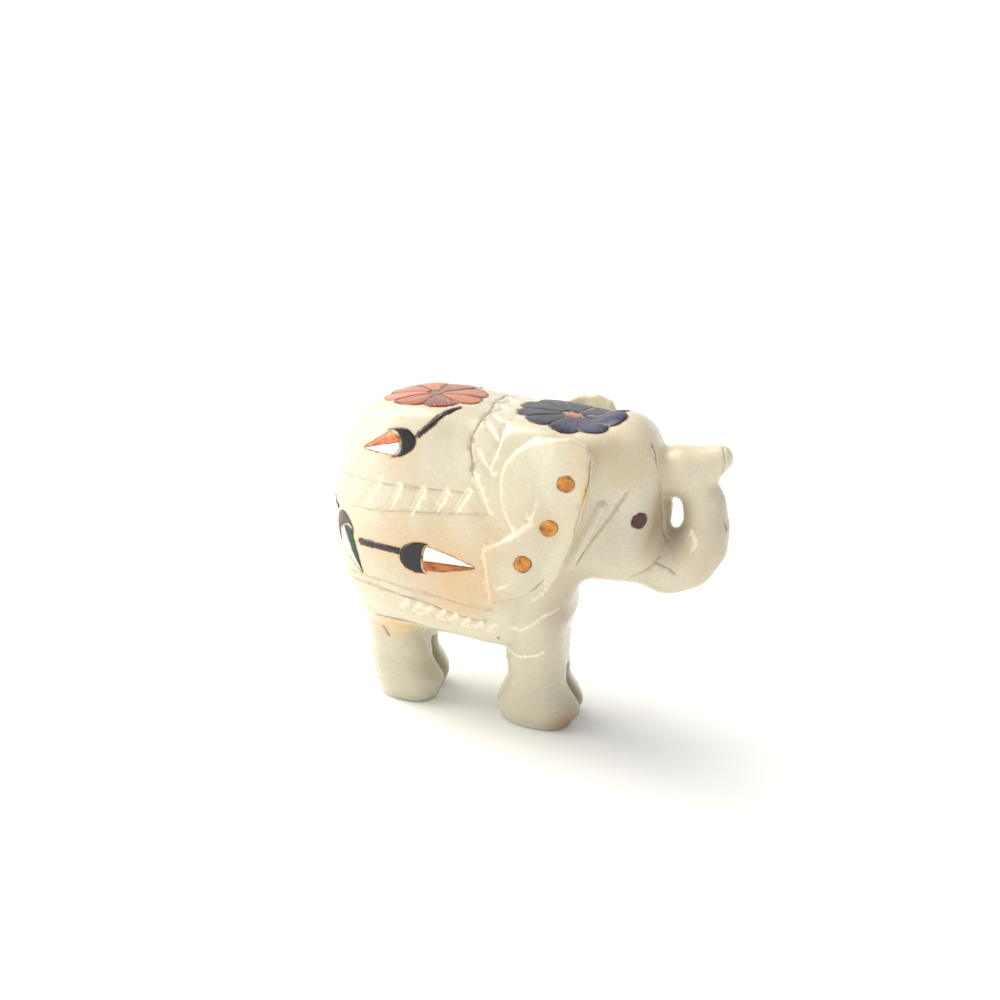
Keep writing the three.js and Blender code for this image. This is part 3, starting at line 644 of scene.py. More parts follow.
def whiteMarble():
    look = marbleLook
    material, tree = newMaterial("whiteMarble")
    place = addNode(tree, "ShaderNodeTexCoord", out="Object")
    perMetre = 1 / metre
    warmth, coolness, shade, fresh, dirt, yellow, stoneGap = (
        addNode(tree, "ShaderNodeAttribute", attribute_name=name, out="Fac")
        for name in ("warmth", "coolness", "shade", "fresh", "dirt", "yellow", "stoneGap"))
    clouds = addNode(tree, "ShaderNodeTexNoise", {
        "Vector": place, "Scale": perMetre / look["cloudSize"], "Detail": 4.0, "Roughness": 0.55})
    crystals = addNode(tree, "ShaderNodeTexNoise", {
        "Vector": place, "Scale": perMetre / look["crystalSize"], "Detail": 3.0, "Roughness": 0.6})
    patches = addNode(tree, "ShaderNodeTexNoise", {
        "Vector": place, "Scale": perMetre / look["patchSize"], "Detail": 5.0, "Roughness": 0.65})

    cloudy = addNode(tree, "ShaderNodeMapRange", {0: clouds, 1: 0.35, 2: 0.7, 3: -0.35, 4: 0.4})
    warm = addNode(tree, "ShaderNodeMath", {0: warmth, 1: cloudy}, operation="ADD", use_clamp=True)
    base = addNode(tree, "ShaderNodeMix", {
        0: warm, 6: linear(look["white"]), 7: linear(look["cream"])}, **colourMix)
    base = addNode(tree, "ShaderNodeMix", {0: coolness, 6: base, 7: linear(look["grey"])}, **colourMix)
    # painted shade: towards the darker brown where the shade patches lie
    base = addNode(tree, "ShaderNodeMix", {0: shade, 6: base, 7: linear(look["shade"])}, **colourMix)
    mottle = addNode(tree, "ShaderNodeMapRange", {0: crystals, 1: 0.3, 2: 0.75, 3: 0.93, 4: 1.05})
    base = addNode(tree, "ShaderNodeMix", {0: 1.0, 6: base, 7: mottle},
                   **colourMix, blend_type="MULTIPLY")
    yellowed = addNode(tree, "ShaderNodeMath", {0: yellow, 1: addNode(
        tree, "ShaderNodeMapRange", {0: patches, 1: 0.3, 2: 0.62, 3: 0.15, 4: 1.0})}, operation="MULTIPLY")
    base = addNode(tree, "ShaderNodeMix", {0: yellowed, 6: base, 7: linear(look["yellow"])}, **colourMix)
    base = addNode(tree, "ShaderNodeMix", {0: fresh, 6: base, 7: linear(look["fresh"])}, **colourMix)
    # dirt in the carved lines, and painted shade where a line lies in a crease or under the cloth's edge
    grimeAndShade = addNode(tree, "ShaderNodeMath", {0: dirt, 1: addNode(
        tree, "ShaderNodeMapRange", {0: patches, 1: 0.35, 2: 0.6, 3: 0.1, 4: 1.0})}, operation="MULTIPLY")
    base = addNode(tree, "ShaderNodeMix", {0: grimeAndShade, 6: base, 7: linear(look["dirt"])}, **colourMix)

    # glue has crept out of the joints: a dark line at the stone and a brown halo beyond it
    ragged = addNode(tree, "ShaderNodeMath", {0: patches, 1: 0.9}, operation="MULTIPLY")
    nearStone = addNode(tree, "ShaderNodeMath", {0: stoneGap, 1: ragged}, operation="ADD")
    halo = addNode(tree, "ShaderNodeMapRange", {0: nearStone, 1: 0.35, 2: 1.0, 3: 0.55, 4: 0.0},
                   interpolation_type="SMOOTHSTEP")
    base = addNode(tree, "ShaderNodeMix", {0: halo, 6: base, 7: linear(look["halo"])}, **colourMix)
    joint = addNode(tree, "ShaderNodeMapRange", {0: nearStone, 1: 0.5, 2: 0.64, 3: 0.9, 4: 0.0})
    base = addNode(tree, "ShaderNodeMix", {0: joint, 6: base, 7: linear(look["cement"])}, **colourMix)

    worn = addNode(tree, "ShaderNodeMapRange", {
        0: clouds, 1: 0.3, 2: 0.7, 3: look["roughness"] - 0.08, 4: look["roughness"] + 0.12})
    rough = addNode(tree, "ShaderNodeMix", {0: fresh, 2: worn, 3: look["freshRoughness"]}, data_type="FLOAT")
    scratches = addNode(tree, "ShaderNodeTexNoise", {
        "Vector": place, "Scale": perMetre / look["scratchSize"], "Detail": 3.0, "Roughness": 0.7})
    grain = addNode(tree, "ShaderNodeMath", {0: scratches, 1: fresh}, operation="MULTIPLY")
    grain = addNode(tree, "ShaderNodeMath", {0: grain, 1: 1.6, 2: scratches}, operation="MULTIPLY_ADD")
    bump = addNode(tree, "ShaderNodeBump", {
        "Strength": 0.35, "Distance": look["scratchDepth"] * metre, "Height": grain})
    surface = addNode(tree, "ShaderNodeBsdfPrincipled", {
        "Base Color": base, "Roughness": rough, "Normal": bump, "IOR": 1.49,
        "Subsurface Weight": look["translucency"], "Subsurface Radius": (1.0, 0.8, 0.6),
        "Subsurface Scale": look["lightReach"] * metre})
    addNode(tree, "ShaderNodeOutputMaterial", {"Surface": surface})
    return material


pits = {"size": 0.3, "depth": 0.03}  # mm, left by the polishing of the small stones


# A polished stone with drifting bands of colour, from dark to light. Sizes in mm
def cutStone(name, colours, grainSize=1.6, stretch=(1, 1, 1), roughness=0.22, spread=(0.3, 0.7)):
    material, tree = newMaterial(name)
    place = addNode(tree, "ShaderNodeTexCoord", out="Object")
    place = addNode(tree, "ShaderNodeMapping", {"Vector": place, "Scale": stretch})
    drift = addNode(tree, "ShaderNodeTexNoise", {
        "Vector": place, "Scale": 1 / metre / grainSize, "Detail": 5.0, "Roughness": 0.6, "Distortion": 0.6})
    ramp = tree.nodes.new("ShaderNodeValToRGB")
    places = np.linspace(spread[0], spread[1], len(colours))
    for n, colour in enumerate(colours):
        stop = ramp.color_ramp.elements[n] if n < 2 else ramp.color_ramp.elements.new(places[n])
        stop.position = places[n]
        stop.color = linear(colour)
    tree.links.new(drift, ramp.inputs[0])
    pitted = addNode(tree, "ShaderNodeTexNoise", {
        "Vector": place, "Scale": 1 / metre / pits["size"], "Detail": 2.0})
    bump = addNode(tree, "ShaderNodeBump", {
        "Strength": 0.2, "Distance": pits["depth"] * metre, "Height": pitted})
    surface = addNode(tree, "ShaderNodeBsdfPrincipled", {
        "Base Color": ramp.outputs[0], "Roughness": roughness, "Normal": bump, "IOR": 1.54})
    addNode(tree, "ShaderNodeOutputMaterial", {"Surface": surface})
    return material


# A stone whose colour changes from petal to petal, with streaks along each and a darker rim
def petalStone(name, petalColours, streak, rim, roughness=0.24):
    material, tree = newMaterial(name)
    number = addNode(tree, "ShaderNodeAttribute", attribute_name="petal", out="Fac")
    grain = addNode(tree, "ShaderNodeAttribute", attribute_name="grain", out="Vector")
    count = len(petalColours)
    share = addNode(tree, "ShaderNodeMath", {0: number, 1: 1 / count, 2: 0.5 / count},
                    operation="MULTIPLY_ADD")
    ramp = tree.nodes.new("ShaderNodeValToRGB")
    ramp.color_ramp.interpolation = "CONSTANT"
    for n, colour in enumerate(petalColours):
        stop = ramp.color_ramp.elements[n] if n < 2 else ramp.color_ramp.elements.new(n / count)
        stop.position = n / count
        stop.color = linear(colour)
    tree.links.new(share, ramp.inputs[0])
    shifted = addNode(tree, "ShaderNodeVectorMath", {0: grain, 1: number}, operation="ADD")
    long = addNode(tree, "ShaderNodeMapping", {"Vector": shifted, "Scale": (0.35, 2.2, 1.0)})
    streaks = addNode(tree, "ShaderNodeTexNoise", {
        "Vector": long, "Scale": 0.9, "Detail": 5.0, "Roughness": 0.62})
    light = addNode(tree, "ShaderNodeMapRange", {0: streaks, 1: 0.46, 2: 0.72, 3: 0.0, 4: 0.6})
    dark = addNode(tree, "ShaderNodeMapRange", {0: streaks, 1: 0.28, 2: 0.46, 3: 0.7, 4: 0.0})
    colour = addNode(tree, "ShaderNodeMix", {0: light, 6: ramp.outputs[0], 7: linear(streak)}, **colourMix)
    colour = addNode(tree, "ShaderNodeMix", {0: dark, 6: colour, 7: linear(rim)}, **colourMix)
    edge = addNode(tree, "ShaderNodeAttribute", attribute_name="rim", out="Fac")
    edge = addNode(tree, "ShaderNodeMapRange", {0: edge, 1: 0.62, 2: 1.0, 3: 0.0, 4: 0.75})
    colour = addNode(tree, "ShaderNodeMix", {0: edge, 6: colour, 7: linear(rim)}, **colourMix)
    bump = addNode(tree, "ShaderNodeBump", {"Strength": 0.3, "Distance": 0.04 * metre, "Height": streaks})
    surface = addNode(tree, "ShaderNodeBsdfPrincipled", {
        "Base Color": colour, "Roughness": roughness, "Normal": bump, "IOR": 1.54})
    addNode(tree, "ShaderNodeOutputMaterial", {"Surface": surface})
    return material


# Geometry Nodes: a tree with named inputs, and its end, which makes a plain shape of one material
def startTree(name, inputs):
    tree = bpy.data.node_groups.new(name, "GeometryNodeTree")
    for label, kind in inputs.items():
        tree.interface.new_socket(name=label, in_out="INPUT", socket_type=f"NodeSocket{kind}")
    tree.interface.new_socket(name="Geometry", in_out="OUTPUT", socket_type="NodeSocketGeometry")
    return tree, tree.nodes.new("NodeGroupInput").outputs


def endTree(tree, shape, stone):
    shape = addNode(tree, "GeometryNodeRealizeInstances", {"Geometry": shape})
    shape = addNode(tree, "GeometryNodeSetMaterial", {"Geometry": shape, "Material": stone})
    out = tree.nodes.new("NodeGroupOutput")
    tree.links.new(shape, out.inputs[0])
    return tree


# A ring of cut petals, lying flat, in millimetres
def petalRingTree():
    tree, given = startTree("petalRing", {
        "Petals": "Int", "Radius": "Float", "Petal Width": "Float", "Root": "Float", "Joint": "Float",
        "Rise": "Float", "Depth": "Float", "Unevenness": "Float", "Seed": "Int", "Stone": "Material",
    })
    maths = "ShaderNodeMath"
    grid = addNode(tree, "GeometryNodeMeshGrid", {
        "Size X": 1.0, "Size Y": 2.0, "Vertices X": 22, "Vertices Y": 11})
    xyz = addNode(tree, "ShaderNodeSeparateXYZ", {0: addNode(tree, "GeometryNodeInputPosition")}).node.outputs
    left = addNode(tree, maths, {0: 0.5, 1: xyz["X"]}, operation="SUBTRACT", use_clamp=True)
    left = addNode(tree, maths, {0: left, 1: petalCrowding}, operation="POWER")
    share = addNode(tree, maths, {0: 1.0, 1: left}, operation="SUBTRACT")
    curve = addNode(tree, "ShaderNodeFloatCurve", {"Value": share}).node
    points = curve.mapping.curves[0].points
    points[0].location = petalHalfWidths[0]
    points[1].location = petalHalfWidths[-1]
    for spot in petalHalfWidths[1:-1]:
        points.new(*spot)
    curve.mapping.update()
    span = addNode(tree, maths, {0: given["Radius"], 1: given["Root"]}, operation="SUBTRACT")
    along = addNode(tree, maths, {0: share, 1: span, 2: given["Root"]}, operation="MULTIPLY_ADD")
    half = addNode(tree, maths, {0: given["Petal Width"], 1: 0.5}, operation="MULTIPLY")
    half = addNode(tree, maths, {0: half, 1: curve.outputs[0]}, operation="MULTIPLY")
    wedge = addNode(tree, maths, {0: math.pi, 1: given["Petals"]}, operation="DIVIDE")
    wedge = addNode(tree, maths, {0: wedge}, operation="TANGENT")
    wedge = addNode(tree, maths, {0: along, 1: wedge}, operation="MULTIPLY")
    wedge = addNode(tree, maths, {0: wedge, 1: given["Joint"]}, operation="SUBTRACT")
    half = addNode(tree, maths, {0: half, 1: wedge}, operation="MINIMUM")
    across = addNode(tree, maths, {0: half, 1: xyz["Y"]}, operation="MULTIPLY")

    # the rim is worn round: the outermost rows lie lower
    side = addNode(tree, maths, {0: xyz["Y"]}, operation="ABSOLUTE")
    end = addNode(tree, maths, {0: share, 1: 8.0}, operation="POWER")
    rim = addNode(tree, maths, {0: side, 1: end}, operation="MAXIMUM")
    worn = addNode(tree, maths, {0: rim, 1: 6.0}, operation="POWER")
    height = addNode(tree, maths, {0: worn, 1: -0.08, 2: given["Rise"]}, operation="MULTIPLY_ADD")
    place = addNode(tree, "ShaderNodeCombineXYZ", {0: along, 1: across, 2: height})
    flat = addNode(tree, "GeometryNodeStoreNamedAttribute", {
        "Geometry": grid, "Name": "rim", "Value": rim}, data_type="FLOAT", domain="POINT")
    petal = addNode(tree, "GeometryNodeSetPosition", {"Geometry": flat, "Position": place})
    petal = addNode(tree, "GeometryNodeStoreNamedAttribute", {
        "Geometry": petal, "Name": "grain", "Value": addNode(tree, "GeometryNodeInputPosition")},
        data_type="FLOAT_VECTOR", domain="POINT")
    drop = addNode(tree, maths, {0: given["Depth"], 1: -1.0}, operation="MULTIPLY")
    down = addNode(tree, "ShaderNodeCombineXYZ", {2: drop})
    walls = addNode(tree, "GeometryNodeExtrudeMesh", {
        "Mesh": petal, "Offset": down, "Offset Scale": 1.0, "Individual": False}, mode="FACES")
    shell = addNode(tree, "GeometryNodeJoinGeometry", {"Geometry": walls})
    tree.links.new(addNode(tree, "GeometryNodeFlipFaces", {"Mesh": petal}), shell.node.inputs[0])
    shell = addNode(tree, "GeometryNodeFlipFaces", {"Mesh": shell})
    shell = addNode(tree, "GeometryNodeMergeByDistance", {"Geometry": shell, "Distance": 0.0005})

    spots = addNode(tree, "GeometryNodeMeshLine", {"Count": given["Petals"], "Offset": (0, 0, 0)})
    index = addNode(tree, "GeometryNodeInputIndex")
    step = addNode(tree, maths, {0: 2 * math.pi, 1: given["Petals"]}, operation="DIVIDE")
    turn = addNode(tree, maths, {0: index, 1: 0.5}, operation="ADD")
    turn = addNode(tree, maths, {0: turn, 1: step}, operation="MULTIPLY")
    turn = addNode(tree, "ShaderNodeCombineXYZ", {2: turn})
    small = addNode(tree, maths, {0: 1.0, 1: given["Unevenness"]}, operation="SUBTRACT")
    size = addNode(tree, "FunctionNodeRandomValue", {"Min": small, "Max": 1.0, "Seed": given["Seed"]},
                   out=1, data_type="FLOAT")
    size = addNode(tree, "ShaderNodeCombineXYZ", {0: size, 1: 1.0, 2: 1.0})
    ring = addNode(tree, "GeometryNodeInstanceOnPoints", {
        "Points": spots, "Instance": shell, "Rotation": turn, "Scale": size})
    ring = addNode(tree, "GeometryNodeStoreNamedAttribute", {
        "Geometry": ring, "Name": "petal", "Value": addNode(tree, "GeometryNodeInputIndex")},
        data_type="FLOAT", domain="INSTANCE")
    return endTree(tree, ring, given["Stone"])


# One round stone, a disc with a worn rim and a slightly uneven outline, in millimetres
def roundStoneTree():
    tree, given = startTree("roundStone", {
        "Diameter": "Float", "Rise": "Float", "Depth": "Float", "Unevenness": "Float", "Seed": "Int",
        "Stone": "Material",
    })
    maths = "ShaderNodeMath"
    radius = addNode(tree, maths, {0: given["Diameter"], 1: 0.5}, operation="MULTIPLY")
    height = addNode(tree, maths, {0: given["Rise"], 1: given["Depth"]}, operation="ADD")
    disc = addNode(tree, "GeometryNodeMeshCylinder", {
        "Vertices": 28, "Side Segments": 1, "Fill Segments": 8, "Radius": radius, "Depth": height})
    place = addNode(tree, "GeometryNodeInputPosition")
    xyz = addNode(tree, "ShaderNodeSeparateXYZ", {0: place}).node.outputs
    lift = addNode(tree, maths, {0: given["Rise"], 1: given["Depth"]}, operation="SUBTRACT")
    lift = addNode(tree, maths, {0: lift, 1: 0.5}, operation="MULTIPLY")
    reach = addNode(tree, "ShaderNodeVectorMath", {0: place}, out=1, operation="LENGTH")
    reach = addNode(tree, maths, {0: reach, 1: radius}, operation="DIVIDE")
    worn = addNode(tree, maths, {0: reach, 1: 7.0}, operation="POWER")
    worn = addNode(tree, maths, {0: worn, 1: -0.07}, operation="MULTIPLY")
    onTop = addNode(tree, maths, {0: xyz["Z"], 1: 0.0}, operation="GREATER_THAN")
    worn = addNode(tree, maths, {0: worn, 1: onTop, 2: lift}, operation="MULTIPLY_ADD")
    seeded = addNode(tree, "ShaderNodeCombineXYZ", {2: given["Seed"]})
    spot = addNode(tree, "ShaderNodeCombineXYZ", {0: xyz["X"], 1: xyz["Y"]})
    spot = addNode(tree, "ShaderNodeVectorMath", {0: spot, 1: seeded}, operation="ADD")
    wobble = addNode(tree, "ShaderNodeTexNoise", {"Vector": spot, "Scale": 0.8, "Detail": 1.0})
    wobble = addNode(tree, maths, {0: wobble, 1: 0.5}, operation="SUBTRACT")
    wobble = addNode(tree, maths, {0: wobble, 1: given["Unevenness"]}, operation="MULTIPLY")
    pull = addNode(tree, "ShaderNodeVectorMath", {0: place, "Scale": wobble}, operation="SCALE")
    pull = addNode(tree, "ShaderNodeVectorMath", {0: pull, 1: (1, 1, 0)}, operation="MULTIPLY")
    offset = addNode(tree, "ShaderNodeCombineXYZ", {2: worn})
    offset = addNode(tree, "ShaderNodeVectorMath", {0: offset, 1: pull}, operation="ADD")
    disc = addNode(tree, "GeometryNodeSetPosition", {"Geometry": disc, "Offset": offset})
    return endTree(tree, disc, given["Stone"])


# A plain mesh object made by a node tree with the named inputs set
def grown(name, tree, values):
    holder = bpy.data.objects.new(name, bpy.data.meshes.new(name))
    bpy.context.scene.collection.objects.link(holder)
    modifier = holder.modifiers.new("grow", "NODES")
    modifier.node_group = tree
    for socket in tree.interface.items_tree:
        if socket.in_out == "INPUT":
            modifier[socket.identifier] = values[socket.name]
    made = holder.evaluated_get(bpy.context.evaluated_depsgraph_get())
    mesh = bpy.data.meshes.new_from_object(made)
    bpy.data.objects.remove(holder)
    mesh.name = name
    mesh.shade_smooth()
    piece = bpy.data.objects.new(name, mesh)
    bpy.context.scene.collection.objects.link(piece)
    return piece


def flatPoints(piece):
    points = np.zeros(len(piece.data.vertices) * 3)
    piece.data.vertices.foreach_get("co", points)
    return points.reshape(-1, 3)


def mirrored(points):
    return points * np.array([1, -1, 1])


# Presses a flat piece on the stone at its seat, on the left side if asked
def layDown(piece, seat, left=False):
    laid = pressOn(seat, flatPoints(piece))
    if left:
        laid = mirrored(laid)
        piece.data.flip_normals()
    piece.data.vertices.foreach_set("co", toFrame(laid).ravel())
    piece.data.update()


def camel(words):
    first, *rest = words.split("_")
    return first + "".join(word.capitalize() for word in rest)


# The marble: skinned in fine boxes, then split where the chisel went and where it bends sharply
skinning = {
    "low": (-40.2, -18.6, -1.6), "high": (39, 18.6, 66), "box": 0.95, "rounds": 3,
    "cutEdge": 0.26, "bendEdge": 0.3, "bendError": 0.018, "rimEdge": 0.4,
}


def skin(low, high, box):
    axes = [np.arange(low[n], high[n] + box, box) for n in range(3)]
    sizes = [len(axis) for axis in axes]
    lines = np.stack(np.meshgrid(*axes, indexing="ij"), -1).reshape(-1, 3)
    values = stone(lines).reshape(sizes)
    corners = [(i, j, k) for i in (0, 1) for j in (0, 1) for k in (0, 1)]
    last = [size - 1 for size in sizes]
    cells = np.stack([values[i:last[0] + i, j:last[1] + j, k:last[2] + k] for i, j, k in corners], -1)
    inside = (cells < 0).sum(-1)
    crossed = (inside > 0) & (inside < 8)
    number = np.full(crossed.shape, -1)
    number[crossed] = np.arange(crossed.sum())
    chosen = cells[crossed]
    total = np.zeros((len(chosen), 3))
    count = np.zeros(len(chosen))
    for a in range(8):
        for b in range(a + 1, 8):
            first, second = np.array(corners[a], float), np.array(corners[b], float)
            if np.abs(first - second).sum() != 1:
                continue
            crossing = (chosen[:, a] < 0) != (chosen[:, b] < 0)
            t = np.where(crossing, chosen[:, a] / np.where(crossing, chosen[:, a] - chosen[:, b], 1), 0)
            total += (first + (second - first) * t[:, None]) * crossing[:, None]
            count += crossing
    vertices = np.array(low) + (np.argwhere(crossed) + total / count[:, None]) * box
    quads = []
    solid = values < 0
    for axis in range(3):
        near, far = [slice(None)] * 3, [slice(None)] * 3
        near[axis], far[axis] = slice(0, -1), slice(1, None)
        edges = np.argwhere(solid[tuple(near)] != solid[tuple(far)])
        u, v = (axis + 1) % 3, (axis + 2) % 3
        ring = []
        for du, dv in [(0, 0), (1, 0), (1, 1), (0, 1)]:
            cell = edges.copy()
            cell[:, u] -= du
            cell[:, v] -= dv
            ring.append(number[tuple(cell.T)])
        quad = np.stack(ring, 1)
        outwards = solid[tuple(near)][tuple(edges.T)]
        quad[~outwards] = quad[~outwards][:, ::-1]
        quads.append(quad)
    quads = np.concatenate(quads)
    shortWay = np.linalg.norm(vertices[quads[:, 0]] - vertices[quads[:, 2]], axis=1) <= np.linalg.norm(
        vertices[quads[:, 1]] - vertices[quads[:, 3]], axis=1)
    first = np.where(shortWay[:, None], quads[:, [0, 1, 2]], quads[:, [1, 2, 3]])
    second = np.where(shortWay[:, None], quads[:, [0, 2, 3]], quads[:, [1, 3, 0]])
    return vertices, np.concatenate([first, second])


# Splits the edges that are too long, and each triangle by which of its edges were split
def splitEdges(vertices, triangles, tooLong):
    ends = np.concatenate([triangles[:, [0, 1]], triangles[:, [1, 2]], triangles[:, [2, 0]]])
    ends.sort(axis=1)
    keys, where = np.unique(ends[:, 0] * len(vertices) + ends[:, 1], return_inverse=True)
    edges = np.stack([keys // len(vertices), keys % len(vertices)], 1)
    middles = vertices[edges].mean(1)
    lengths = np.linalg.norm(vertices[edges[:, 0]] - vertices[edges[:, 1]], axis=1)
    split = tooLong(middles, lengths)
    number = np.full(len(edges), -1)
    number[split] = len(vertices) + np.arange(split.sum())
    vertices = np.concatenate([vertices, settle(middles[split], 2)])
    cuts = number[where].reshape(3, -1).T
    kept = [triangles[(cuts < 0).all(1)]]
    full = (cuts >= 0).all(1)
    a, b, c = triangles[full].T
    ab, bc, ca = cuts[full].T
    for corners in [(a, ab, ca), (ab, b, bc), (ca, bc, c), (ab, bc, ca)]:
        kept.append(np.stack(corners, 1))
    for turn in range(3):
        order = [turn, (turn + 1) % 3, (turn + 2) % 3]
        a, b, c = triangles[:, order].T
        ab, bc, ca = cuts[:, order].T
        one = (ab >= 0) & (bc < 0) & (ca < 0)
        for corners in [(a, ab, c), (ab, b, c)]:
            kept.append(np.stack(corners, 1)[one])
        two = (ab >= 0) & (bc >= 0) & (ca < 0)
        for corners in [(ab, b, bc), (a, ab, bc), (a, bc, c)]:
            kept.append(np.stack(corners, 1)[two])
    return vertices, np.concatenate(kept)


def nearSeat(points, seat, reach):
    offset = points - seat["origin"]
    height = offset @ seat["normal"]
    u, v = offset @ seat["ahead"], offset @ seat["aside"]
    near = np.flatnonzero((np.abs(height) < 3) & (np.hypot(u, v) < reach))
    return near, u[near], v[near]


# Distance from points of the marble to the nearest set stone, negative under one
def stoneGapAt(points, stones):
    folded = foldOver(points)
    gap = np.full(len(points), 5.0)
    for seat, outline, oneSided in stones:
        reach = max(math.hypot(*corner) for corner in outline) + 2
        near, u, v = nearSeat(folded if oneSided else points, seat, reach)
        gap[near] = np.minimum(gap[near], outlineDistance(u, v, outline))
    for name, path in stemPaths.items():
        lowCorner = path.min(0) - 3
        highCorner = path.max(0) + 3
        near = np.flatnonzero(((folded > lowCorner) & (folded < highCorner)).all(1))
        for start, end in zip(path[:-1], path[1:]):
            distance, _ = distanceToRun(folded[near], start, end)
            gap[near] = np.minimum(gap[near], distance - stemRuns[name][1] / 2)
    return gap


def handWork(points, waves=36, seed=11):  # slow unevenness that the rubbing stone left
    random = np.random.default_rng(seed)
    heading = random.normal(size=(waves, 3))
    heading /= np.linalg.norm(heading, axis=1)[:, None]
    lengths = random.uniform(4, 13, waves)
    phase = random.uniform(0, 2 * math.pi, waves)
    return np.sin(points @ (heading * (2 * math.pi / lengths)[:, None]).T + phase).sum(1) / math.sqrt(waves)


def patch(points, centre, radii):  # 1 at the centre of a soft patch, 0 outside it
    size = np.sqrt((((points - np.array(centre)) / np.array(radii)) ** 2).sum(1))
    t = np.clip(1 - size, 0, 1)
    return t * t * (3 - 2 * t)


# Stains and tints of the marble, and painted shade: the centre and radii of each soft patch in mm, and its
# strength
tints = {
    "warmth": [((-11, -16, 36), (20, 16, 18), 0.9), ((16, -8, 58), (16, 16, 12), 0.6)],
    "coolness": [((17, -11, 42), (10, 8, 9), 0.6)],
    # painted shade: the front of the eye at the trunk's root, the front foot's toe, the chest and the trunk's
    # front, the sides away from the light, are darkened towards brown
    "shade": [((25, -5, 46), (8, 9, 12), 0.75), ((13, -5, 1.5), (7, 8, 6), 1),
              ((11, -6, 27), (9, 14, 12), 0.55), ((35, 0, 44), (7, 9, 16), 0.4)],
    "yellow": [((-21, -9, 17.5), (9, 8, 4.5), 1), ((12.4, -16, 52), (1.6, 3, 5), 1)],
}
rubbed = {"unevenness": 0.05, "pocketEdge": 0.3, "pocketDepth": 0.1}  # mm


def carveMarble(stones, material):
    segments = segmentsOf(neckBand() + flankBand() + hem() + earLines() + faceLines() + legLines())
    print("chisel lines:", len(segments))
    vertices, triangles = skin(skinning["low"], skinning["high"], skinning["box"])
    vertices = settle(vertices, 4)

    def tooLong(middles, lengths):
        gap = chisel(middles, segments)[3]
        rim = np.abs(stoneGapAt(middles, stones))
        off = np.abs(stone(middles))
        cut = (gap < 0.12) & (lengths > skinning["cutEdge"])
        bend = (off > skinning["bendError"]) & (lengths > skinning["bendEdge"])
        return cut | bend | ((rim < 0.35) & (lengths > skinning["rimEdge"]))

    for _ in range(skinning["rounds"]):
        vertices, triangles = splitEdges(vertices, triangles, tooLong)
        print("marble skin:", len(triangles), "triangles")

    slope = slopeAt(vertices)
    normal = slope / np.maximum(np.linalg.norm(slope, axis=1), 1e-6)[:, None]
    depth, fresh, dirt, _ = chisel(vertices, segments)
    gap = stoneGapAt(vertices, stones)
    standing = np.clip(vertices[:, 2] / 2, 0, 1)  # the soles stay flat
    uneven = handWork(vertices) * rubbed["unevenness"] * standing
    sunk = np.clip(0.5 - gap / rubbed["pocketEdge"], 0, 1) * rubbed["pocketDepth"]
    carved = vertices - normal * (depth * standing + uneven + sunk)[:, None]
    carved[:, 2] = np.maximum(carved[:, 2], 0)

    marble = newPiece("marbleElephant", toFrame(carved), triangles, material)
    fields = {"fresh": fresh, "dirt": dirt, "stoneGap": np.maximum(gap, 0)}
    for name, patches in tints.items():
        fields[name] = sum(patch(vertices, centre, radii) * strength for centre, radii, strength in patches)
    fields["warmth"] = np.clip(fields["warmth"], 0, 1)
    fields["coolness"] += np.clip((22 - vertices[:, 2]) / 16, 0, 1) * 0.75  # the legs are greyer
    for name, values in fields.items():
        attribute = marble.data.attributes.new(name, "FLOAT", "POINT")
        attribute.data.foreach_set("value", np.clip(values, 0, 5).astype(np.float32))
    fit(marble, "marble", "marble_body")


# Where every stone sits, with its outline, for the marble round it
def setStones():
    stones = []
    for flower in flowers.values():
        seat = flowerSeat(flower)
        flower["seat"] = seat
        outline = outlineOf(petalEdges(flower))
        for n in range(flower["petals"]):
            stones.append((seat, turned(outline, (n + 0.5) * 2 * math.pi / flower["petals"]), False))
        stones.append((seat, circleOutline(flower["centre"]), False))
    for name, bud in buds.items():
        bud["seat"] = seatAt(*budPlaces[name])
        for edges in (calyxEdges(bud), budPetalEdges(bud, 1), budPetalEdges(bud, -1)):
            stones.append((bud["seat"], outlineOf(edges), True))
    for name, (places, width) in stemRuns.items():
        stemPaths[name] = drape(places, 0.55)
    earDots["seats"] = [seatAt(place, (0, -1, 0), (1, 0, 0)) for place in earDots["places"]]
    for seat in earDots["seats"]:
        stones.append((seat, circleOutline(earDots["diameter"]), True))
    eye["seat"] = seatAt(eye["place"], eye["outward"], (1, 0, 0))
    stones.append((eye["seat"], circleOutline(eye["diameter"]), True))
    return stones


def setFlowers(ring, disc, looks):
    for name, flower in flowers.items():
        petals = grown(f"{name}FlowerPetals", ring, {
            "Petals": flower["petals"], "Radius": flower["radius"], "Petal Width": flower["petalWidth"],
            "Root": petalRoot(flower), "Joint": petalJoint, "Rise": stoneSet["rise"],
            "Depth": stoneSet["depth"], "Unevenness": 0.05, "Seed": flower["seed"],
            "Stone": looks[f"{name}Petals"]})
        layDown(petals, flower["seat"])
        nodes = [f"{name}_flower_petal_{n + 1}" for n in range(flower["petals"])]
        fit(petals, "carnelian" if name == "rump" else "lapis", *nodes)
        centre = grown(f"{name}FlowerCentre", disc, {
            "Diameter": flower["centre"], "Rise": stoneSet["rise"] + 0.02, "Depth": stoneSet["depth"],
            "Unevenness": 0.3, "Seed": flower["seed"], "Stone": looks[f"{name}Centre"]})
        layDown(centre, flower["seat"])
        fit(centre, "serpentine" if name == "rump" else "jasper", f"{name}_flower_centre")


def setLofted(node, edges, seat, left, slotName, material):
    flat, faces = loftStone(*edges)
    piece = newPiece(camel(node), flat, faces, material)
    layDown(piece, seat, left)
    closeUp(piece)
    fit(piece, slotName, node)


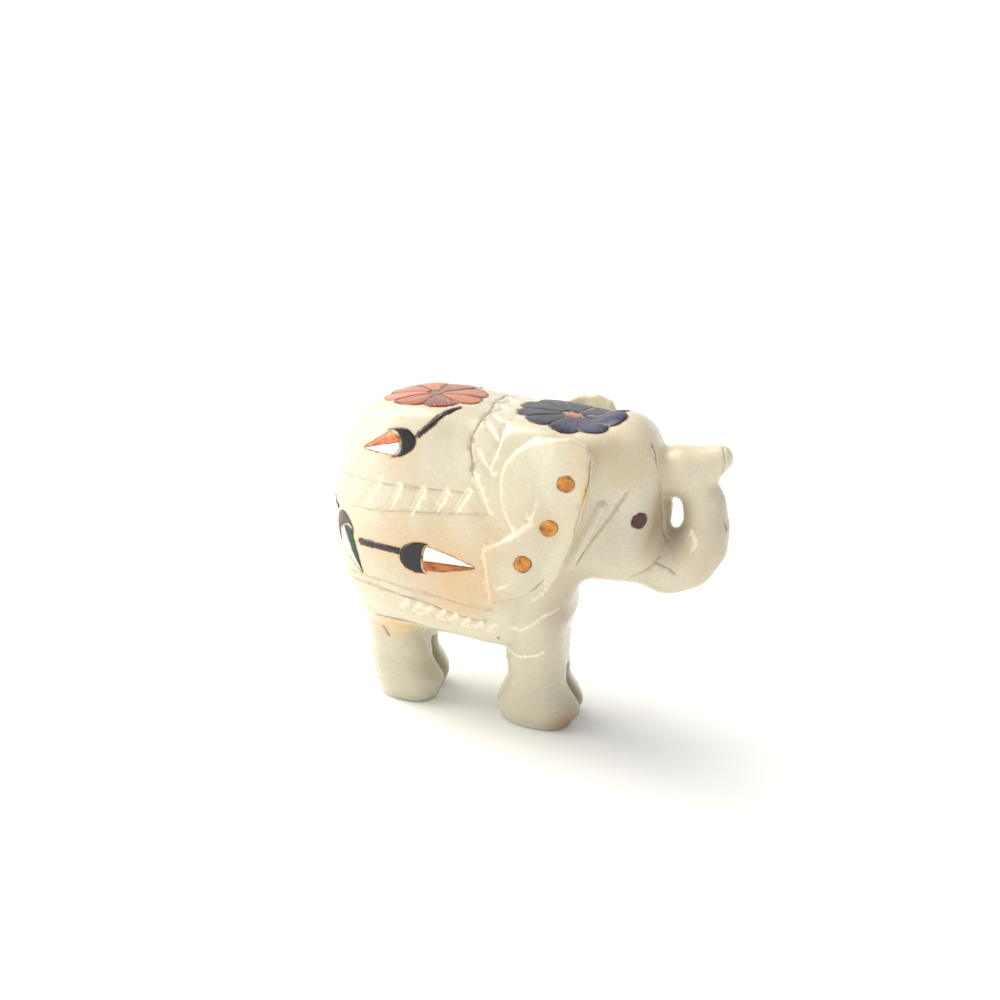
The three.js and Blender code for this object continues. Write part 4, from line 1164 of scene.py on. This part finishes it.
def setBuds(looks):
    petals = {  # first the petal on the seat's aside, then the other
        "rump": (("lower", "shell", "shell"), ("upper", "carnelian", "orangeCarnelian")),
        "garland": (("upper", "shell", "shell"), ("lower", "carnelian", "brownCarnelian")),
        "corner": (("front", "malachite", "malachite"), ("rear", "shell", "ivoryShell")),
    }
    for left in (False, True):
        side = "left" if left else "right"
        for name, bud in buds.items():
            calyxLook = looks["greyOnyx"] if name == "corner" else looks["onyx"]
            setLofted(f"{side}_{name}_bud_calyx", calyxEdges(bud), bud["seat"], left, "onyx", calyxLook)
            for turn, (petal, slotName, look) in zip((1, -1), petals[name]):
                node = f"{side}_{name}_bud_{petal}_petal"
                setLofted(node, budPetalEdges(bud, turn), bud["seat"], left, slotName, looks[look])
            node = f"{side}_{name}_stem"
            laid, faces = loftStem(stemPaths[name], stemRuns[name][1])
            stem = newPiece(camel(node), toFrame(mirrored(laid) if left else laid), faces, looks["stemOnyx"])
            closeUp(stem)
            fit(stem, "onyx", node)


def setRoundStones(disc, looks):
    for left in (False, True):
        side = "left" if left else "right"
        for n, seat in enumerate(earDots["seats"]):
            dot = grown(f"{side}EarDot{n + 1}", disc, {
                "Diameter": earDots["diameter"], "Rise": stoneSet["rise"], "Depth": stoneSet["depth"],
                "Unevenness": 0.25, "Seed": 3 + n, "Stone": looks["amber"]})
            layDown(dot, seat, left)
            fit(dot, "amber", f"{side}_ear_dot_{n + 1}")
        eyeStone = grown(f"{side}Eye", disc, {
            "Diameter": eye["diameter"], "Rise": stoneSet["rise"], "Depth": stoneSet["depth"],
            "Unevenness": 0.35, "Seed": 8, "Stone": looks["garnet"]})
        layDown(eyeStone, eye["seat"], left)
        fit(eyeStone, "garnet", f"{side}_eye")


# Every stone is sawn, set and rubbed flush with the marble, so it has a soft polish with fine pits
def makeLooks():
    return {
        # carnelian, each petal from another slice: orange to brown, with streaks along it
        "rumpPetals": petalStone("bandedCarnelian", [
            "#b06227", "#8f4428", "#c4703c", "#b25a38", "#c8703e", "#a8552c", "#7e3522", "#b9602c",
        ], "#d98f5c", "#5e2a18"),
        # lapis with much slate in it: dull violet navy to nearly black
        "headPetals": petalStone("slatyLapis", [
            "#34324a", "#2f2f42", "#2b2d38", "#2c3034", "#2a2d2f", "#26282c", "#232530", "#2a2b40",
            "#322f4c", "#383453",
        ], "#5b5a70", "#17181f", 0.35),
        "rumpCentre": cutStone("serpentine", ["#3a4032", "#6b7055", "#8a8c6c"], 0.5),  # grey-green, mottled
        "headCentre": cutStone("brownJasper", ["#7a4526", "#a86a3e", "#c99566"], 0.9),  # dull orange-brown
        # onyx: nearly black, with grey bands where it is thin
        "onyx": cutStone("blackOnyx", ["#0c0a0b", "#1a1719", "#33343a"], 1.2, spread=(0.35, 0.8)),
        "greyOnyx": cutStone("smokyOnyx", ["#2c2226", "#4a3d3d", "#6b5c58"], 1.4),
        "stemOnyx": cutStone("stemOnyx", ["#141214", "#2b2628", "#5b4f47"], 0.6, spread=(0.3, 0.75)),
        # shell: the whitest stone, a little creamy in its layers
        "shell": cutStone("whiteShell", ["#f0e4d2", "#fbf6ec", "#ffffff"], 2.5, roughness=0.3),
        "ivoryShell": cutStone("ivoryShell", ["#d8c9a0", "#f0e8cc", "#fdfaf0"], 1.5, roughness=0.3),
        "orangeCarnelian": cutStone("orangeCarnelian", ["#b4471c", "#dd6a33", "#f0a27c"], 1.8),
        "brownCarnelian": cutStone("brownCarnelian", ["#7a3a12", "#a8561c", "#c9792e"], 2.0),
        # malachite: deep green, its bands running upwards
        "malachite": cutStone("malachite", ["#02180d", "#06381f", "#0c5a33"], 1.0, (1, 1, 3)),
        # amber and garnet take the best polish: one honey brown, one a red that is nearly black
        "amber": cutStone("amberStone", ["#7a3d0c", "#c27a1c", "#dd9a34"], 1.8, roughness=0.2),
        "garnet": cutStone("garnet", ["#120403", "#331009", "#5a2212"], 1.2, roughness=0.18),
    }


# Studio: white floor, a room that is bright near the horizon, and soft light from high on the left
studio = {
    "floor": "#fafafa", "floorSize": 8.0, "floorDrop": 0.0002, "horizon": 1.05, "ceiling": 0.45,
    "sun": 3.4, "sunSpread": 50, "sunColour": (1, 0.97, 0.9), "sunFrom": (-0.62, 0.12, 0.8),
    "side": 1.1, "sideFrom": (-0.46, -0.2, 0.2), "sideSize": 0.3,
}
shot = {"azimuth": 12, "elevation": 20, "roll": 5.5, "distance": 210, "aim": (-6, 0, 43.17), "lens": 39.77}


def buildStudio():
    scene = bpy.context.scene
    scene.view_settings.view_transform = "Standard"
    world = bpy.data.worlds.new("whiteRoom")
    world.use_nodes = True
    tree = world.node_tree
    tree.nodes.clear()
    heading = addNode(tree, "ShaderNodeTexCoord", out="Generated")
    upward = addNode(tree, "ShaderNodeSeparateXYZ", {0: heading}).node.outputs["Z"]
    strength = addNode(tree, "ShaderNodeMapRange", {
        0: upward, 1: 0.3, 2: 0.6, 3: studio["horizon"], 4: studio["ceiling"]},
        interpolation_type="SMOOTHSTEP")
    room = addNode(tree, "ShaderNodeBackground", {"Color": (1, 1, 1, 1), "Strength": strength})
    addNode(tree, "ShaderNodeOutputWorld", {"Surface": room})
    scene.world = world
    material, tree = newMaterial("mattPaper")
    surface = addNode(tree, "ShaderNodeBsdfPrincipled", {
        "Base Color": linear(studio["floor"]), "Roughness": 0.9, "Specular IOR Level": 0.1})
    addNode(tree, "ShaderNodeOutputMaterial", {"Surface": surface})
    size, height = studio["floorSize"], -studio["floorDrop"]
    corners = [(-size, -size, height), (size, -size, height), (size, size, height), (-size, size, height)]
    floor = newPiece("studioFloor", corners, [(0, 1, 2, 3)], material, smooth=False)
    addLamp("skylight", "SUN", studio["sunFrom"], studio["sun"], math.radians(studio["sunSpread"]))
    addLamp("sideLight", "AREA", studio["sideFrom"], studio["side"], studio["sideSize"])


def addLamp(name, kind, place, power, size):
    lampAim = (0, 0, 0.035)
    light = bpy.data.lights.new(name, kind)
    light.energy = power
    light.color = studio["sunColour"]
    if kind == "SUN":
        light.angle = size
    else:
        light.shape = "DISK"
        light.size = size
    lamp = bpy.data.objects.new(name, light)
    lamp.location = place
    lamp.rotation_euler = (Vector(lampAim) - Vector(place)).to_track_quat("-Z", "Y").to_euler()
    bpy.context.scene.collection.objects.link(lamp)


def aimCamera():
    azimuth, elevation, roll = (math.radians(shot[name]) for name in ("azimuth", "elevation", "roll"))
    back = Vector((math.sin(azimuth) * math.cos(elevation), -math.cos(azimuth) * math.cos(elevation),
                   math.sin(elevation)))
    level = Vector((math.cos(azimuth), math.sin(azimuth), 0))
    upright = back.cross(level)
    right = level * math.cos(roll) + upright * math.sin(roll)
    above = upright * math.cos(roll) - level * math.sin(roll)
    camera = bpy.data.cameras.new("productCamera")
    camera.lens = shot["lens"]
    camera.sensor_width = 36
    camera.clip_start = 0.01
    holder = bpy.data.objects.new("productCamera", camera)
    aim = Vector(toFrame(np.array([shot["aim"]], float))[0])
    spot = aim + back * shot["distance"] * metre
    turn = Matrix((right, above, back)).transposed().to_4x4()
    holder.matrix_world = Matrix.Translation(spot) @ turn
    bpy.context.scene.collection.objects.link(holder)
    bpy.context.scene.camera = holder


looks = makeLooks()
stones = setStones()
print("seats found:", len(stones), "stones")
carveMarble(stones, whiteMarble())
print("marble carved")
petalRing = petalRingTree()
roundStone = roundStoneTree()
setFlowers(petalRing, roundStone, looks)
setBuds(looks)
setRoundStones(roundStone, looks)
print("stones set")
buildStudio()
aimCamera()
print("studio ready")
